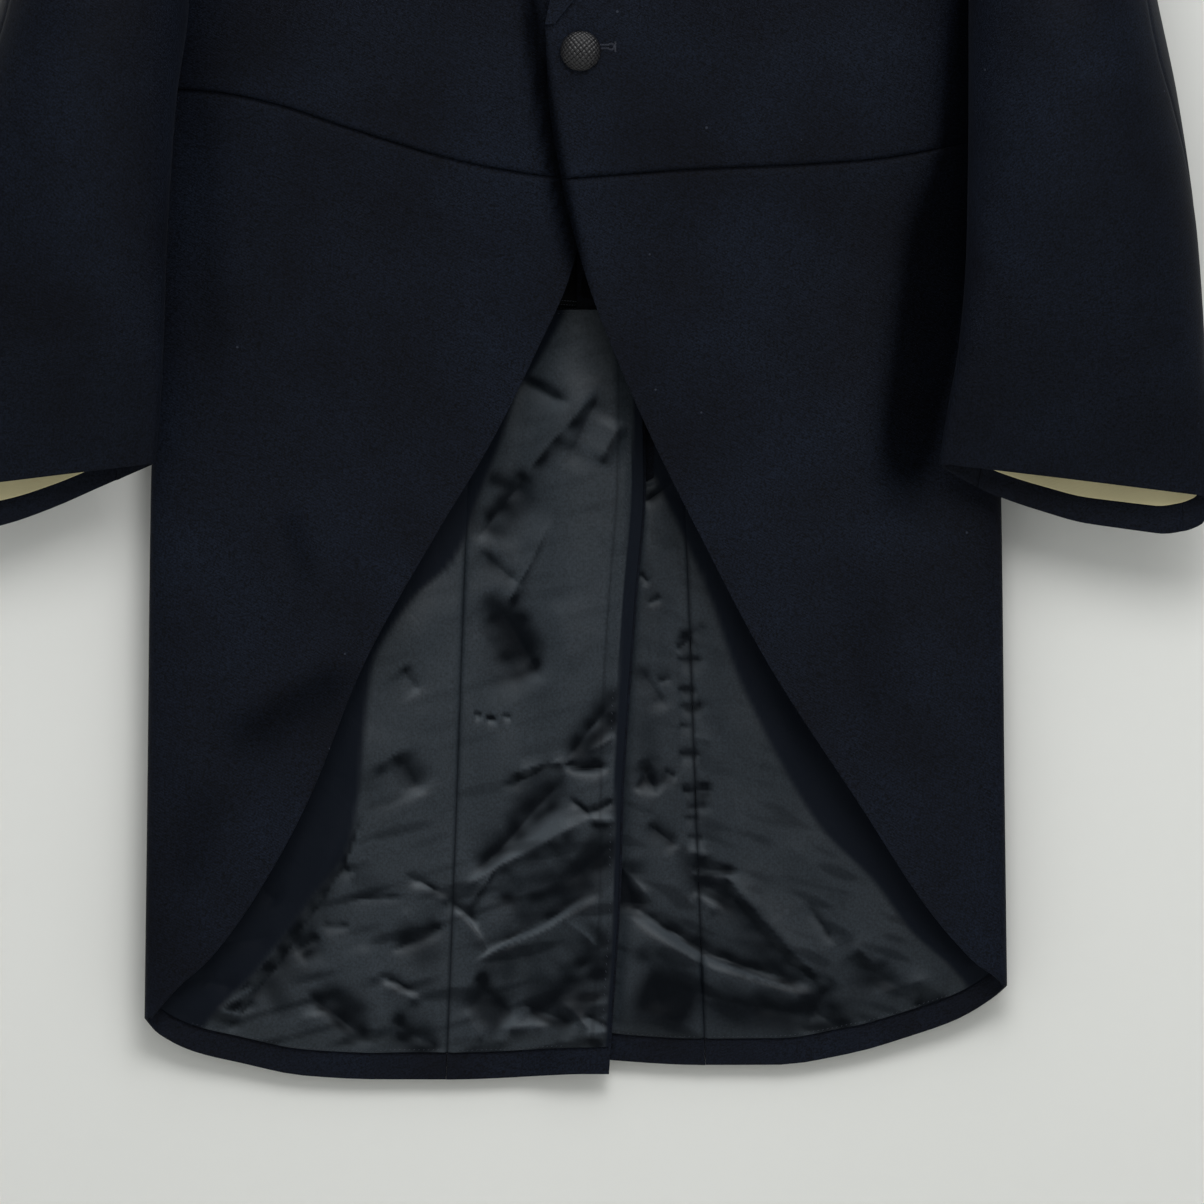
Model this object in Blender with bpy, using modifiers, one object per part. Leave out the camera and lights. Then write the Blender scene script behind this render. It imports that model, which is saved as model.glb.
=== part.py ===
"""Morning coat on a wooden hanger, hung by its hook: cloth walls, covered buttons, hanger and hook."""

import math

import bmesh
import bpy
import numpy as np
from mathutils import Vector

for old in list(bpy.data.objects):
    bpy.data.objects.remove(old, do_unlink=True)
collection = bpy.data.collections.new("morning_coat")
bpy.context.scene.collection.children.link(collection)

# Sizes are millimetres. A height is given as "below", measured down from the nape of the neck.
# The origin is the point of the hook that bears on a rail. The front faces -Y, and the wearer's left is +X.
MM = 0.001
HOOK_TO_NAPE = 95.0
WOOL = 1.6
LINING = 1.0
SEAM = 0.3
BACK_PLANE = 50.0
LEFT, RIGHT = 1, -1

# Body of the coat, as one flattened ring at each height.
BODY = [
    {"below": -40, "half_width": 262, "half_depth": 50, "squareness": 2.5},
    {"below": 120, "half_width": 252, "half_depth": 50, "squareness": 2.5},
    {"below": 245, "half_width": 241, "half_depth": 48, "squareness": 2.5},
    {"below": 340, "half_width": 231, "half_depth": 42, "squareness": 2.6},
    {"below": 460, "half_width": 227, "half_depth": 33, "squareness": 2.8},
    {"below": 560, "half_width": 230, "half_depth": 25, "squareness": 3.0},
    {"below": 680, "half_width": 234, "half_depth": 19, "squareness": 3.0},
    {"below": 850, "half_width": 236, "half_depth": 17, "squareness": 3.0},
    {"below": 1010, "half_width": 238, "half_depth": 18, "squareness": 3.0},
]
NECK_POINT = {"x": 75, "below": -15}
SHOULDER_POINT = {"x": 225, "below": 52}
SHOULDER_ROUND = 55
UNDERARM = {"x": 241, "below": 245}
ARMHOLE_CURVE = {"front": 48, "back": 36, "top_power": 1.5, "under_power": 0.6}

# Free front edges from the button down to the side, as distances past the centre line.
FRONT_EDGE = [
    {"below": 420, "left": -17, "right": -17},
    {"below": 460, "left": -15, "right": -15},
    {"below": 505, "left": -8, "right": -9},
    {"below": 557, "left": 5, "right": 3},
    {"below": 600, "left": 21, "right": 22},
    {"below": 650, "left": 43, "right": 47},
    {"below": 700, "left": 68, "right": 77},
    {"below": 770, "left": 105, "right": 116},
    {"below": 850, "left": 157, "right": 149},
    {"below": 905, "left": 193, "right": 180},
    {"below": 935, "left": 219, "right": 203},
    {"below": 948, "left": 235, "right": 218},
    {"below": 966, "left": 237, "right": 234},
]
CORNER = {"left": 948, "right": 966}
HEM = [
    {"x": 0, "left": 988, "right": 997},
    {"x": 70, "left": 992, "right": 1000},
    {"x": 110, "left": 992, "right": 1000},
    {"x": 150, "left": 986, "right": 998},
    {"x": 185, "left": 976, "right": 991},
    {"x": 210, "left": 967, "right": 985},
    {"x": 230, "left": 955, "right": 975},
    {"x": 238, "left": 948, "right": 966},
]
WAIST_SEAM = [
    {"x": -20, "left": 506, "right": 507},
    {"x": 20, "left": 503, "right": 503},
    {"x": 60, "left": 500, "right": 496},
    {"x": 125, "left": 497, "right": 477},
    {"x": 165, "left": 494, "right": 464},
    {"x": 200, "left": 488, "right": 457},
    {"x": 228, "left": 482, "right": 455},
]
BACK_WAIST = 474
FRONT_WAIST = {"forepart": 506, "skirt": 508}
SIDE_SEAM_ROUND = 0.42
BACK_SEAM = [
    {"below": 190, "x": 200.4},
    {"below": 235, "x": 168},
    {"below": 300, "x": 118},
    {"below": 380, "x": 76},
    {"below": 474, "x": 51},
    {"below": 560, "x": 54},
    {"below": 680, "x": 60},
    {"below": 850, "x": 66},
    {"below": 1010, "x": 72},
]
VENT = {"top": 518, "bottom": 990, "lap_top": 33, "lap_bottom": 18, "run_out": 25,
        "step": 5.4, "ramp": 34, "step_from": 443, "step_over": 60}
OVERLAP_LIFT = {"height": 9, "reach": 110, "fade_in": 200, "full_from": 335, "full_to": 600,
                "fade_out": 760}

ROLL_END = {"x": -17, "below": 420}
GORGE = {"x": 60, "below": 52}
NOTCH = {"x": 116, "below": 96}
PEAK = {"x": 160, "below": 74}
LAPEL_WIDEST = {"x": 118, "below": 228}
LAPEL = {"thick": 2.0, "clear": 0.6, "tip": 5, "roll_lift": 4, "roll_share": 0.35, "round_to": 200,
         "flat_from": 330}
COLLAR = {"stand": 30, "front_stand": 3, "falls_from": 0.35, "lean": 1.0, "fold": 7, "crest": 0.35,
          "thick": 2.0, "edge_clear": 0.7, "bulge": 6, "stations": 20}
COLLAR_EDGE = [
    {"share": 0.0, "x": 0, "below": 14},
    {"share": 0.25, "x": 62, "below": 8},
    {"share": 0.5, "x": 104, "below": -2},
    {"share": 0.75, "x": 120, "below": 28},
    {"share": 0.9, "x": 125, "below": 62},
    {"share": 1.0, "x": 116, "below": 95},
]

# Each sleeve, as an oval at each height between an inner and an outer point.
SLEEVE = [
    {"step": 1, "in_below": 262, "out_below": 82, "left_in": 246, "left_out": 243,
     "right_in": 246, "right_out": 243, "half_depth": 56, "y": -6, "tilt": 0, "swell": 2},
    {"step": 2, "in_below": 284, "out_below": 135, "left_in": 241, "left_out": 262,
     "right_in": 241, "right_out": 262, "half_depth": 58, "y": -20, "tilt": 0, "swell": 15},
    {"step": 3, "in_below": 318, "out_below": 215, "left_in": 230, "left_out": 282,
     "right_in": 229, "right_out": 281, "half_depth": 58, "y": -34, "tilt": 0, "swell": 15},
    {"step": 4, "in_below": 360, "out_below": 310, "left_in": 219, "left_out": 301,
     "right_in": 217, "right_out": 300, "half_depth": 57, "y": -42, "tilt": 0, "swell": 8},
    {"step": 5, "in_below": 408, "out_below": 400, "left_in": 215, "left_out": 317,
     "right_in": 212, "right_out": 314, "half_depth": 55, "y": -44, "tilt": 0, "swell": 3},
    {"step": 6, "in_below": 465, "out_below": 463, "left_in": 215, "left_out": 330,
     "right_in": 219, "right_out": 333, "half_depth": 48, "y": -42, "tilt": 0, "swell": 0},
    {"step": 7, "in_below": 540, "out_below": 541, "left_in": 214, "left_out": 341,
     "right_in": 224, "right_out": 350, "half_depth": 38, "y": -36, "tilt": 2, "swell": 0},
    {"step": 8, "in_below": 594, "out_below": 598, "left_in": 210, "left_out": 345,
     "right_in": 226, "right_out": 360, "half_depth": 29, "y": -28, "tilt": 8, "swell": 0},
    {"step": 9, "in_below": 630, "out_below": 640, "left_in": 204, "left_out": 347,
     "right_in": 228, "right_out": 369, "half_depth": 20, "y": -18, "tilt": 16, "swell": 0},
    {"step": 10, "in_below": 661, "out_below": 679, "left_in": 199, "left_out": 347,
     "right_in": 231, "right_out": 379, "half_depth": 14, "y": -9, "tilt": 24, "swell": 0},
]

# How much of the tilt the back of the cuff hangs lower, from its inner fold (share 0) to its outer one.
CUFF_DROOP = [
    {"share": 0.0, "left": 0.05, "right": 0.0},
    {"share": 0.2, "left": 0.54, "right": 0.37},
    {"share": 0.38, "left": 0.79, "right": 0.72},
    {"share": 0.55, "left": 0.95, "right": 0.96},
    {"share": 0.7, "left": 0.97, "right": 1.06},
    {"share": 0.82, "left": 0.98, "right": 1.1},
    {"share": 0.92, "left": 0.84, "right": 0.98},
    {"share": 1.0, "left": 0.58, "right": 0.75},
]
DROOP_FOLD = 0.35
FOREARM_SEAM = math.pi - 1.0
HINDARM_SEAM = {"high": -0.5, "low": 0.85, "from_step": 5.5, "to_step": 8.5, "reach": 2.3}
CUFF = {"turn_up": 12, "lining_height": 75, "lining_narrower": 4.0, "lining_flatter": 3.2,
        "step_length": 36}
SLEEVE_CLEAR = 0.7
SLEEVE_SEAM = {"gap": 0.6, "at_armhole": 1.25, "until_step": 3}
SEAM_CROWD = 0.06
TIP_CROWD = 0.6
LINING_EDGE = {"top": 576, "hem": 15, "hem_level": 950, "vent": 2, "under_lap": 6, "seam_turn": 0.1,
               "last_turn": 0.5}
BODY_LINING = {"last_turn": 0.4, "top_centre": 30, "top_side": 90, "top_share": 0.55, "full_from": 0.45,
               "centre_seam_at": 300}
LINING_GAP = 1.2
LINING_ROWS = [i / 9 for i in range(10)]

FRONT_BUTTON = {"x": 2.5, "below": 434.5, "diameter": 22, "height": 7.5, "steps": 20}
CUFF_BUTTON = {"diameter": 13.5, "height": 5, "steps": 12, "first_above_edge": 34, "spacing": 15.2,
               "count": 3, "angle": 0.8}
BUTTON_FORM = {"rim_share": 0.35, "underside_share": 0.86, "dome_angles": (20, 42, 64, 90)}

HANGER = {"half_span": 216, "top_below": -18, "half_thick_mid": 7, "half_thick_end": 14,
          "height_mid": 34, "height_end": 20, "round_from": 0.96, "round_over": 0.045,
          "stations": 24, "sides": 12}
HOOK = {"wire": 4.0, "inner_radius": 19.0, "tip_angle": 205, "bend_angle": -55, "stations": 20,
        "stem_top": -54.0, "bend": ((1.0, 5.0), (4.2, 10.5))}

COLOURS = {
    "wool": (0.0070, 0.0083, 0.0124),
    "satin": (0.028, 0.033, 0.037),
    "body_lining": (0.006, 0.007, 0.009),
    "ivory": (0.62, 0.59, 0.47),
    "braid": (0.022, 0.023, 0.028),
    "wood": (0.30, 0.16, 0.07),
    "steel": (0.62, 0.63, 0.65),
}


def side_name(side):
    return "left" if side == LEFT else "right"


def along(table, key, column, value):
    """A column of the table at a value of its key, as a smooth curve through the rows."""
    keys = [row[key] for row in table]
    values = [row[column] for row in table]
    value = min(max(value, keys[0]), keys[-1])
    i = min(max(np.searchsorted(keys, value) - 1, 0), len(keys) - 2)
    slopes = [(b - a) / (q - p) for a, b, p, q in zip(values, values[1:], keys, keys[1:])]
    tangents = [slopes[0]]
    for before, after in zip(slopes, slopes[1:]):
        tangents.append(2 * before * after / (before + after) if before * after > 0 else 0.0)
    tangents.append(slopes[-1])
    span = keys[i + 1] - keys[i]
    u = (value - keys[i]) / span
    blend = u * u * (3 - 2 * u)
    start = (u - 2 * u * u + u ** 3) * span * tangents[i]
    end = (u ** 3 - u * u) * span * tangents[i + 1]
    return values[i] * (1 - blend) + values[i + 1] * blend + start + end


def ease(value):
    value = min(max(value, 0.0), 1.0)
    return value * value * (3 - 2 * value)


def shoulder_line(x):
    """Height of the top of the shoulder, which runs on upwards inside the neck."""
    neck = NECK_POINT["x"]
    slope = (SHOULDER_POINT["below"] - NECK_POINT["below"]) / (SHOULDER_POINT["x"] - neck)
    if abs(x) > neck:
        return NECK_POINT["below"] + (abs(x) - neck) * slope
    return NECK_POINT["below"] - (neck ** 2 - x ** 2) / (2 * neck) * slope


def half_depth(x, below):
    """Half the distance between front and back layer at a point of the coat seen from the front."""
    width = along(BODY, "below", "half_width", below)
    power = along(BODY, "below", "squareness", below)
    share = max(1 - min(abs(x) / width, 1) ** power, 0) ** (1 / power)
    drop = min(max(below - shoulder_line(x), 0) / SHOULDER_ROUND, 1)
    return along(BODY, "below", "half_depth", below) * share * math.sqrt(1 - (1 - drop) ** 2)


def middle(below):
    return BACK_PLANE - along(BODY, "below", "half_depth", below)


def front_lift(side, x, below):
    """How far the wearer's left front stands off, where it laps over the right one."""
    if side == RIGHT:
        return 0.0
    lift = OVERLAP_LIFT
    over = ease((lift["reach"] - x) / lift["reach"])
    rise = ease((below - lift["fade_in"]) / (lift["full_from"] - lift["fade_in"]))
    fall = ease((lift["fade_out"] - below) / (lift["fade_out"] - lift["full_to"]))
    return lift["height"] * over * rise * fall


def vent_lap(below):
    """How far the wearer's right back runs on past the centre, under the left one."""
    share = (below - VENT["top"]) / (VENT["bottom"] - VENT["top"])
    return VENT["lap_top"] + (VENT["lap_bottom"] - VENT["lap_top"]) * share


def vent_sink(side, x, below):
    """How far the wearer's right back steps inwards, where it lies under the left one at the vent."""
    if side == LEFT:
        return 0.0
    down = ease((below - VENT["step_from"]) / VENT["step_over"])
    return VENT["step"] * ease((x + VENT["ramp"]) / VENT["ramp"]) * down


def body_point(side, turn, below):
    """A point of the outer cloth. turn is 0 at the centre back, 0.5 at the side and 1 at the centre front."""
    across = along(BODY, "below", "half_width", below) * math.sin(math.pi * turn)
    x = side * across
    depth = half_depth(x, below)
    if turn > 0.5:
        y = middle(below) - depth - front_lift(side, across, below)
    else:
        y = middle(below) + depth - vent_sink(side, -across, below)
    return Vector((x, y, -HOOK_TO_NAPE - below))


def body_normal(side, turn, below):
    step, drop = 0.002, 0.5
    round_it = body_point(side, turn + step, below) - body_point(side, turn - step, below)
    down = body_point(side, turn, below + drop) - body_point(side, turn, below - drop)
    normal = round_it.cross(down) * side
    return normal.normalized()


def turn_at(x, below, front):
    share = max(min(x / along(BODY, "below", "half_width", below), 1), -1)
    turn = math.asin(share) / math.pi
    return 1 - turn if front else turn


def nudged(side, turn, below, distance):
    """The turn that lies a small distance further round."""
    step = 0.0005
    stretch = (body_point(side, turn + step, below) - body_point(side, turn - step, below)).length
    return turn + distance * 2 * step / stretch


def armhole(share, front):
    """A point of the armhole as (x, below): share is 0 at the shoulder and 1 under the arm."""
    reach = ARMHOLE_CURVE["front" if front else "back"]
    x = SHOULDER_POINT["x"] + (UNDERARM["x"] - SHOULDER_POINT["x"]) * share
    top_power, under_power = ARMHOLE_CURVE["top_power"], ARMHOLE_CURVE["under_power"]
    deepest = top_power / (top_power + under_power)
    curve = share ** top_power * (1 - share) ** under_power
    x -= reach * curve / (deepest ** top_power * (1 - deepest) ** under_power)
    top = SHOULDER_POINT["below"] + seam_drop(SHOULDER_POINT["x"])
    return x, top + (UNDERARM["below"] - top) * share


def coons(top, bottom, start, end, rows, columns):
    """A grid of (turn, below) pairs between four curves. Rows run down, columns run from start to end."""
    corners = [np.array(c) for c in (top(0), top(1), bottom(0), bottom(1))]
    grid = []
    for v in rows:
        line = []
        for u in columns:
            across = (1 - v) * np.array(top(u)) + v * np.array(bottom(u))
            down = (1 - u) * np.array(start(v)) + u * np.array(end(v))
            upper = (1 - u) * corners[0] + u * corners[1]
            lower = (1 - u) * corners[2] + u * corners[3]
            both = (1 - v) * upper + v * lower
            line.append(tuple(across + down - both))
        grid.append(line)
    return grid


def spread(count):
    return [i / count for i in range(count + 1)]


def material(name, colour, roughness, metallic=0.0):
    made = bpy.data.materials.get(name)
    if made:
        return made
    made = bpy.data.materials.new(name)
    made.use_nodes = True
    shader = made.node_tree.nodes["Principled BSDF"]
    shader.inputs["Base Color"].default_value = (*COLOURS[colour], 1)
    shader.inputs["Roughness"].default_value = roughness
    shader.inputs["Metallic"].default_value = metallic
    return made


def add_object(name, mesh, made_of):
    mesh.materials.append(made_of)
    mesh.shade_smooth()
    obj = bpy.data.objects.new(name, mesh)
    collection.objects.link(obj)
    return obj


def cloth(name, grids, made_of, thick, closed=False):
    """A wall of cloth: grids of points in mm, joined where they meet, thickened away from their normals."""
    mesh = bpy.data.meshes.new(name)
    bm = bmesh.new()
    for grid in grids:
        rows = [[bm.verts.new(Vector(p) * MM) for p in line] for line in grid]
        for upper, lower in zip(rows, rows[1:]):
            pairs = list(zip(range(len(upper)), range(1, len(upper))))
            if closed:
                pairs.append((len(upper) - 1, 0))
            for a, b in pairs:
                bm.faces.new((upper[a], upper[b], lower[b], lower[a]))
    bmesh.ops.remove_doubles(bm, verts=bm.verts, dist=1e-6)
    bm.to_mesh(mesh)
    bm.free()
    obj = add_object(name, mesh, made_of)
    solidify = obj.modifiers.new("Cloth", "SOLIDIFY")
    solidify.thickness = thick * MM
    solidify.offset = -1
    return obj


def body_grid(side, grid, out=0.0):
    """3-D points of a (turn, below) grid, moved out from the cloth's outer face."""
    points = []
    for line in grid:
        row = []
        for turn, below in line:
            row.append(body_point(side, turn, below) + body_normal(side, turn, below) * out)
        points.append(row if side == LEFT else row[::-1])
    return points


def front_edge_x(side, below):
    """Free edge of the front: along the roll line above the lapel's end, then down the cutaway."""
    if below >= ROLL_END["below"]:
        return along(FRONT_EDGE, "below", side_name(side), below)
    rise = (ROLL_END["below"] - below) / (ROLL_END["below"] - NECK_POINT["below"])
    return ROLL_END["x"] + (NECK_POINT["x"] - ROLL_END["x"]) * rise


def front_at(side, x, below, inset=0.0):
    """(turn, below) of a point on the front layer, moved back from the free edge by the inset."""
    return nudged(side, turn_at(x, below, True), below, -inset), below


def back_at(side, x, below, inset=0.0):
    return nudged(side, turn_at(x, below, False), below, -inset), below


def neckline(share):
    """Edge of the back at the neck as (x, below), from the nape to the neck point."""
    across = math.sin(math.pi / 2 * share)
    below = NECK_POINT["below"] * across ** 2
    return NECK_POINT["x"] * across, below + seam_drop(NECK_POINT["x"]) * (share > 0.999)


def shoulder_seam(share):
    """The shoulder seam as (x, below), from the neck point to the shoulder point."""
    x = NECK_POINT["x"] + (SHOULDER_POINT["x"] - NECK_POINT["x"]) * share
    return x, shoulder_line(x) + seam_drop(x)


def seam_drop(x):
    """How far below the top of the shoulder its surface is half a seam's gap away from the middle."""
    depth = half_depth(x, shoulder_line(x) + SHOULDER_ROUND)
    return SHOULDER_ROUND * (1 - math.sqrt(1 - (SEAM / 2 / depth) ** 2))


def side_waist(side):
    return along(WAIST_SEAM, "x", side_name(side), WAIST_SEAM[-1]["x"])


def back_waist(side, turn):
    """Height of the waist seam on the back layer, between the back seam and the side."""
    seam_turn = turn_at(along(BACK_SEAM, "below", "x", BACK_WAIST), BACK_WAIST, False)
    return BACK_WAIST + (side_waist(side) - BACK_WAIST) * (turn - seam_turn) / (0.5 - seam_turn)


def front_waist(side, x):
    return along(WAIST_SEAM, "x", side_name(side), x)


def side_share():
    """Share of the back armhole at which the side seam meets it."""
    low, high = 0.7, 1.0
    for _ in range(30):
        mid = (low + high) / 2
        x, below = armhole(mid, False)
        if turn_at(x, below, False) < SIDE_SEAM_ROUND:
            low = mid
        else:
            high = mid
    return low


def rounding_rows(length):
    """Rows over the shoulder's rounding, for a panel of this length."""
    return [SHOULDER_ROUND * (1 - math.cos(math.radians(a))) / length for a in ROUNDING_ANGLES]


# Rows and columns of the panels' grids, as shares from 0 to 1. Panels that meet use the same ones.
SEAM_SHARE = (BACK_SEAM[0]["below"] - SHOULDER_POINT["below"]) / (UNDERARM["below"] - SHOULDER_POINT["below"])
UNDERARM_ROW = 0.45
BACK_SEAM_ROW = 0.19
BACK_WAIST_ROW = 0.474
ROUNDING_ANGLES = (0, 3, 14, 34, 60, 90)
SIDE_ROWS = (0, 0.16, 0.33, 0.5, 0.67, 0.83, 1)
FOREPART_LENGTH = 475
BACK_LENGTH = 1000
ARMHOLE_ROWS_FRONT = rounding_rows(FOREPART_LENGTH) + [0.19, 0.27, 0.34, 0.39, 0.43, UNDERARM_ROW]
ARMHOLE_ROWS_BACK = rounding_rows(BACK_LENGTH) + [0.09, 0.13, 0.16, BACK_SEAM_ROW]
FRONT_COLUMNS = (0, 0.02, 0.06, 0.12, 0.21, 0.32, 0.44, 0.56, 0.68, 0.79, 0.9, 1)
SIDEBODY_COLUMNS = [1 - (1 - i / 6) ** 1.9 for i in range(7)]
WRAP_COLUMNS = spread(4)
SKIRT_ROWS = spread(12)
SLEEVE_ROWS = (0, 0.3, 0.65, 1, 2, 3, 4.5, 6, 7, 8, 9, 10)


def forepart(side):
    name = side_name(side)

    def top(u):
        x, below = shoulder_seam(1 - u)
        return front_at(side, x, below)

    def bottom(u):
        x = along(BODY, "below", "half_width", side_waist(side)) * (1 - u)
        x += front_edge_x(side, FRONT_WAIST["forepart"]) * u
        below = front_waist(side, x) - SEAM / 2
        return front_at(side, x, below)

    def start(v):
        if v < UNDERARM_ROW:
            x, below = armhole(v / UNDERARM_ROW, True)
            return turn_at(x, below, True), below
        share = (v - UNDERARM_ROW) / (1 - UNDERARM_ROW)
        return 0.5, UNDERARM["below"] + (bottom(0)[1] - UNDERARM["below"]) * share

    def end(v):
        below = top(1)[1] + (bottom(1)[1] - top(1)[1]) * v
        return front_at(side, front_edge_x(side, below), below)

    rows = ARMHOLE_ROWS_FRONT + [UNDERARM_ROW + (1 - UNDERARM_ROW) * w for w in SIDE_ROWS[1:]]
    front = coons(top, bottom, start, end, rows, FRONT_COLUMNS)

    def wrap_top(u):
        x, below = armhole(side_share() * (1 - u) + u, False)
        return turn_at(x, below, False), below

    def wrap_bottom(u):
        turn = nudged(side, SIDE_SEAM_ROUND, bottom(0)[1], SEAM / 2)
        turn += (0.5 - turn) * u
        return turn, back_waist(side, turn) - SEAM / 2

    def wrap_start(w):
        below = wrap_top(0)[1] + (wrap_bottom(0)[1] - wrap_top(0)[1]) * w
        return nudged(side, SIDE_SEAM_ROUND, below, SEAM / 2), below

    def wrap_end(w):
        return start(UNDERARM_ROW + w * (1 - UNDERARM_ROW))

    wrap = coons(wrap_top, wrap_bottom, wrap_start, wrap_end, SIDE_ROWS, WRAP_COLUMNS)
    cloth(f"forepart_{name}", [body_grid(side, wrap), body_grid(side, front)], wool(), WOOL)


def sidebody(side):
    def top(u):
        x, below = armhole(SEAM_SHARE + (side_share() - SEAM_SHARE) * u, False)
        return turn_at(x, below, False), below

    def start(v):
        below = BACK_SEAM[0]["below"] + (BACK_WAIST - SEAM / 2 - BACK_SEAM[0]["below"]) * v
        return back_at(side, along(BACK_SEAM, "below", "x", below), below, -SEAM / 2)

    def bottom(u):
        first = start(1)[0]
        turn = first + (nudged(side, SIDE_SEAM_ROUND, BACK_WAIST, -SEAM / 2) - first) * u
        return turn, back_waist(side, turn) - SEAM / 2

    def end(v):
        below = top(1)[1] + (bottom(1)[1] - top(1)[1]) * v
        return nudged(side, SIDE_SEAM_ROUND, below, -SEAM / 2), below

    grid = coons(top, bottom, start, end, SIDE_ROWS, SIDEBODY_COLUMNS)
    cloth(f"sidebody_{side_name(side)}", [body_grid(side, grid)], wool(), WOOL)


def back(side):
    def edge_x(below):
        return -vent_lap(below) * ease((below - VENT["top"]) / VENT["run_out"]) if side == RIGHT else 0.0

    def top(u):
        share = u * 3
        x, below = neckline(share) if share <= 1 else shoulder_seam((share - 1) / 2)
        return back_at(side, x, below)

    def level(v, first, hem):
        """Height of a row: the back seam's own heights down to the waist, then on to the hem."""
        meets = BACK_SEAM[0]["below"]
        if v < BACK_SEAM_ROW:
            return first + (meets - first) * v / BACK_SEAM_ROW
        if v < BACK_WAIST_ROW:
            return meets + (BACK_WAIST - meets) * (v - BACK_SEAM_ROW) / (BACK_WAIST_ROW - BACK_SEAM_ROW)
        return BACK_WAIST + (hem - BACK_WAIST) * (v - BACK_WAIST_ROW) / (1 - BACK_WAIST_ROW)

    def start(v):
        below = level(v, 0, hem_at(side, 0))
        return back_at(side, edge_x(below), below, -SEAM / 2)

    def end(v):
        if v < BACK_SEAM_ROW:
            x, below = armhole(SEAM_SHARE * v / BACK_SEAM_ROW, False)
            return turn_at(x, below, False), below
        below = level(v, 0, hem_at(side, BACK_SEAM[-1]["x"]))
        return back_at(side, along(BACK_SEAM, "below", "x", below), below, SEAM / 2)

    def bottom(u):
        x = edge_x(VENT["bottom"]) * (1 - u) + BACK_SEAM[-1]["x"] * u
        below = hem_at(side, max(x, 0))
        return back_at(side, x, below)

    rows = ARMHOLE_ROWS_BACK + [BACK_SEAM_ROW + (BACK_WAIST_ROW - BACK_SEAM_ROW) * w for w in SIDE_ROWS[1:]]
    rows += [BACK_WAIST_ROW + (1 - BACK_WAIST_ROW) * w for w in SKIRT_ROWS[1:]]
    grid = coons(top, bottom, start, end, rows, spread(9))
    cloth(f"back_{side_name(side)}", [body_grid(side, grid)], wool(), WOOL)


def hem_at(side, x):
    return along(HEM, "x", side_name(side), x)


def skirt(side):
    corner = CORNER[side_name(side)]
    side_width = along(BODY, "below", "half_width", side_waist(side))

    def top(u):
        x = side_width * (1 - u) + front_edge_x(side, FRONT_WAIST["skirt"]) * u
        return front_at(side, x, front_waist(side, x) + SEAM / 2)

    def start(v):
        return 0.5, top(0)[1] + (corner - top(0)[1]) * v

    def end(v):
        below = top(1)[1] + (corner - top(1)[1]) * v
        return front_at(side, front_edge_x(side, below), below)

    def bottom(u):
        return 0.5 + (end(1)[0] - 0.5) * u, corner

    front = coons(top, bottom, start, end, SKIRT_ROWS, FRONT_COLUMNS)

    def back_top(u):
        first = back_start(0)[0]
        turn = first + (0.5 - first) * u
        return turn, back_waist(side, turn) + SEAM / 2

    def back_start(v):
        first = BACK_WAIST + SEAM / 2
        below = first + (hem_at(side, BACK_SEAM[-1]["x"]) - first) * v
        return back_at(side, along(BACK_SEAM, "below", "x", below), below, -SEAM / 2)

    def back_bottom(u):
        first = back_start(1)[0]
        turn = first + (0.5 - first) * u
        x = along(BODY, "below", "half_width", corner) * math.sin(math.pi * turn)
        return turn, hem_at(side, x)

    first = back_start(0)[0]
    turns = [first + (SIDE_SEAM_ROUND - first) * u for u in SIDEBODY_COLUMNS]
    turns += [SIDE_SEAM_ROUND + (0.5 - SIDE_SEAM_ROUND) * u for u in WRAP_COLUMNS[1:]]
    columns = [(turn - first) / (0.5 - first) for turn in turns]
    behind = coons(back_top, back_bottom, back_start, start, SKIRT_ROWS, columns)
    cloth(f"skirt_{side_name(side)}", [body_grid(side, behind), body_grid(side, front)], wool(), WOOL)


def wool():
    return material("worsted_wool", "wool", 0.8)


def lapel(side):
    """A peaked lapel: it starts at the roll line and lies on the forepart."""
    name = side_name(side)

    def roll(v):
        x = GORGE["x"] + (ROLL_END["x"] - GORGE["x"]) * v
        return x, GORGE["below"] + (ROLL_END["below"] - GORGE["below"]) * v

    def outer(v):
        ends = (PEAK["x"], PEAK["below"]), (ROLL_END["x"] + LAPEL["tip"], ROLL_END["below"])
        mid_x = 2 * LAPEL_WIDEST["x"] - (ends[0][0] + ends[1][0]) / 2
        mid_below = 2 * LAPEL_WIDEST["below"] - (ends[0][1] + ends[1][1]) / 2
        parts = (1 - v) ** 2, 2 * v * (1 - v), v * v
        return (parts[0] * ends[0][0] + parts[1] * mid_x + parts[2] * ends[1][0],
                parts[0] * ends[0][1] + parts[1] * mid_below + parts[2] * ends[1][1])

    def gorge(u):
        points = (GORGE, NOTCH, PEAK)
        first = min(int(u * 2), 1)
        share = u * 2 - first
        a, b = points[first], points[first + 1]
        return a["x"] + (b["x"] - a["x"]) * share, a["below"] + (b["below"] - a["below"]) * share

    def end_edge(u):
        return ROLL_END["x"] + LAPEL["tip"] * u, ROLL_END["below"]

    plan = coons(gorge, end_edge, roll, outer, spread(12), spread(6))
    rows = []
    for line in plan:
        row = []
        for u, (x, below) in zip(spread(6), line):
            turn = turn_at(x, below, True)
            flat = ease((below - LAPEL["round_to"]) / (LAPEL["flat_from"] - LAPEL["round_to"]))
            roll_lift = LAPEL["roll_lift"] * (1 - ease(u / LAPEL["roll_share"])) * (1 - flat)
            out = LAPEL["clear"] + LAPEL["thick"] + roll_lift
            row.append(body_point(side, turn, below) + body_normal(side, turn, below) * out)
        rows.append(row[::-1] if side == LEFT else row)
    cloth(f"lapel_{name}", [rows], wool(), LAPEL["thick"])


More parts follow.
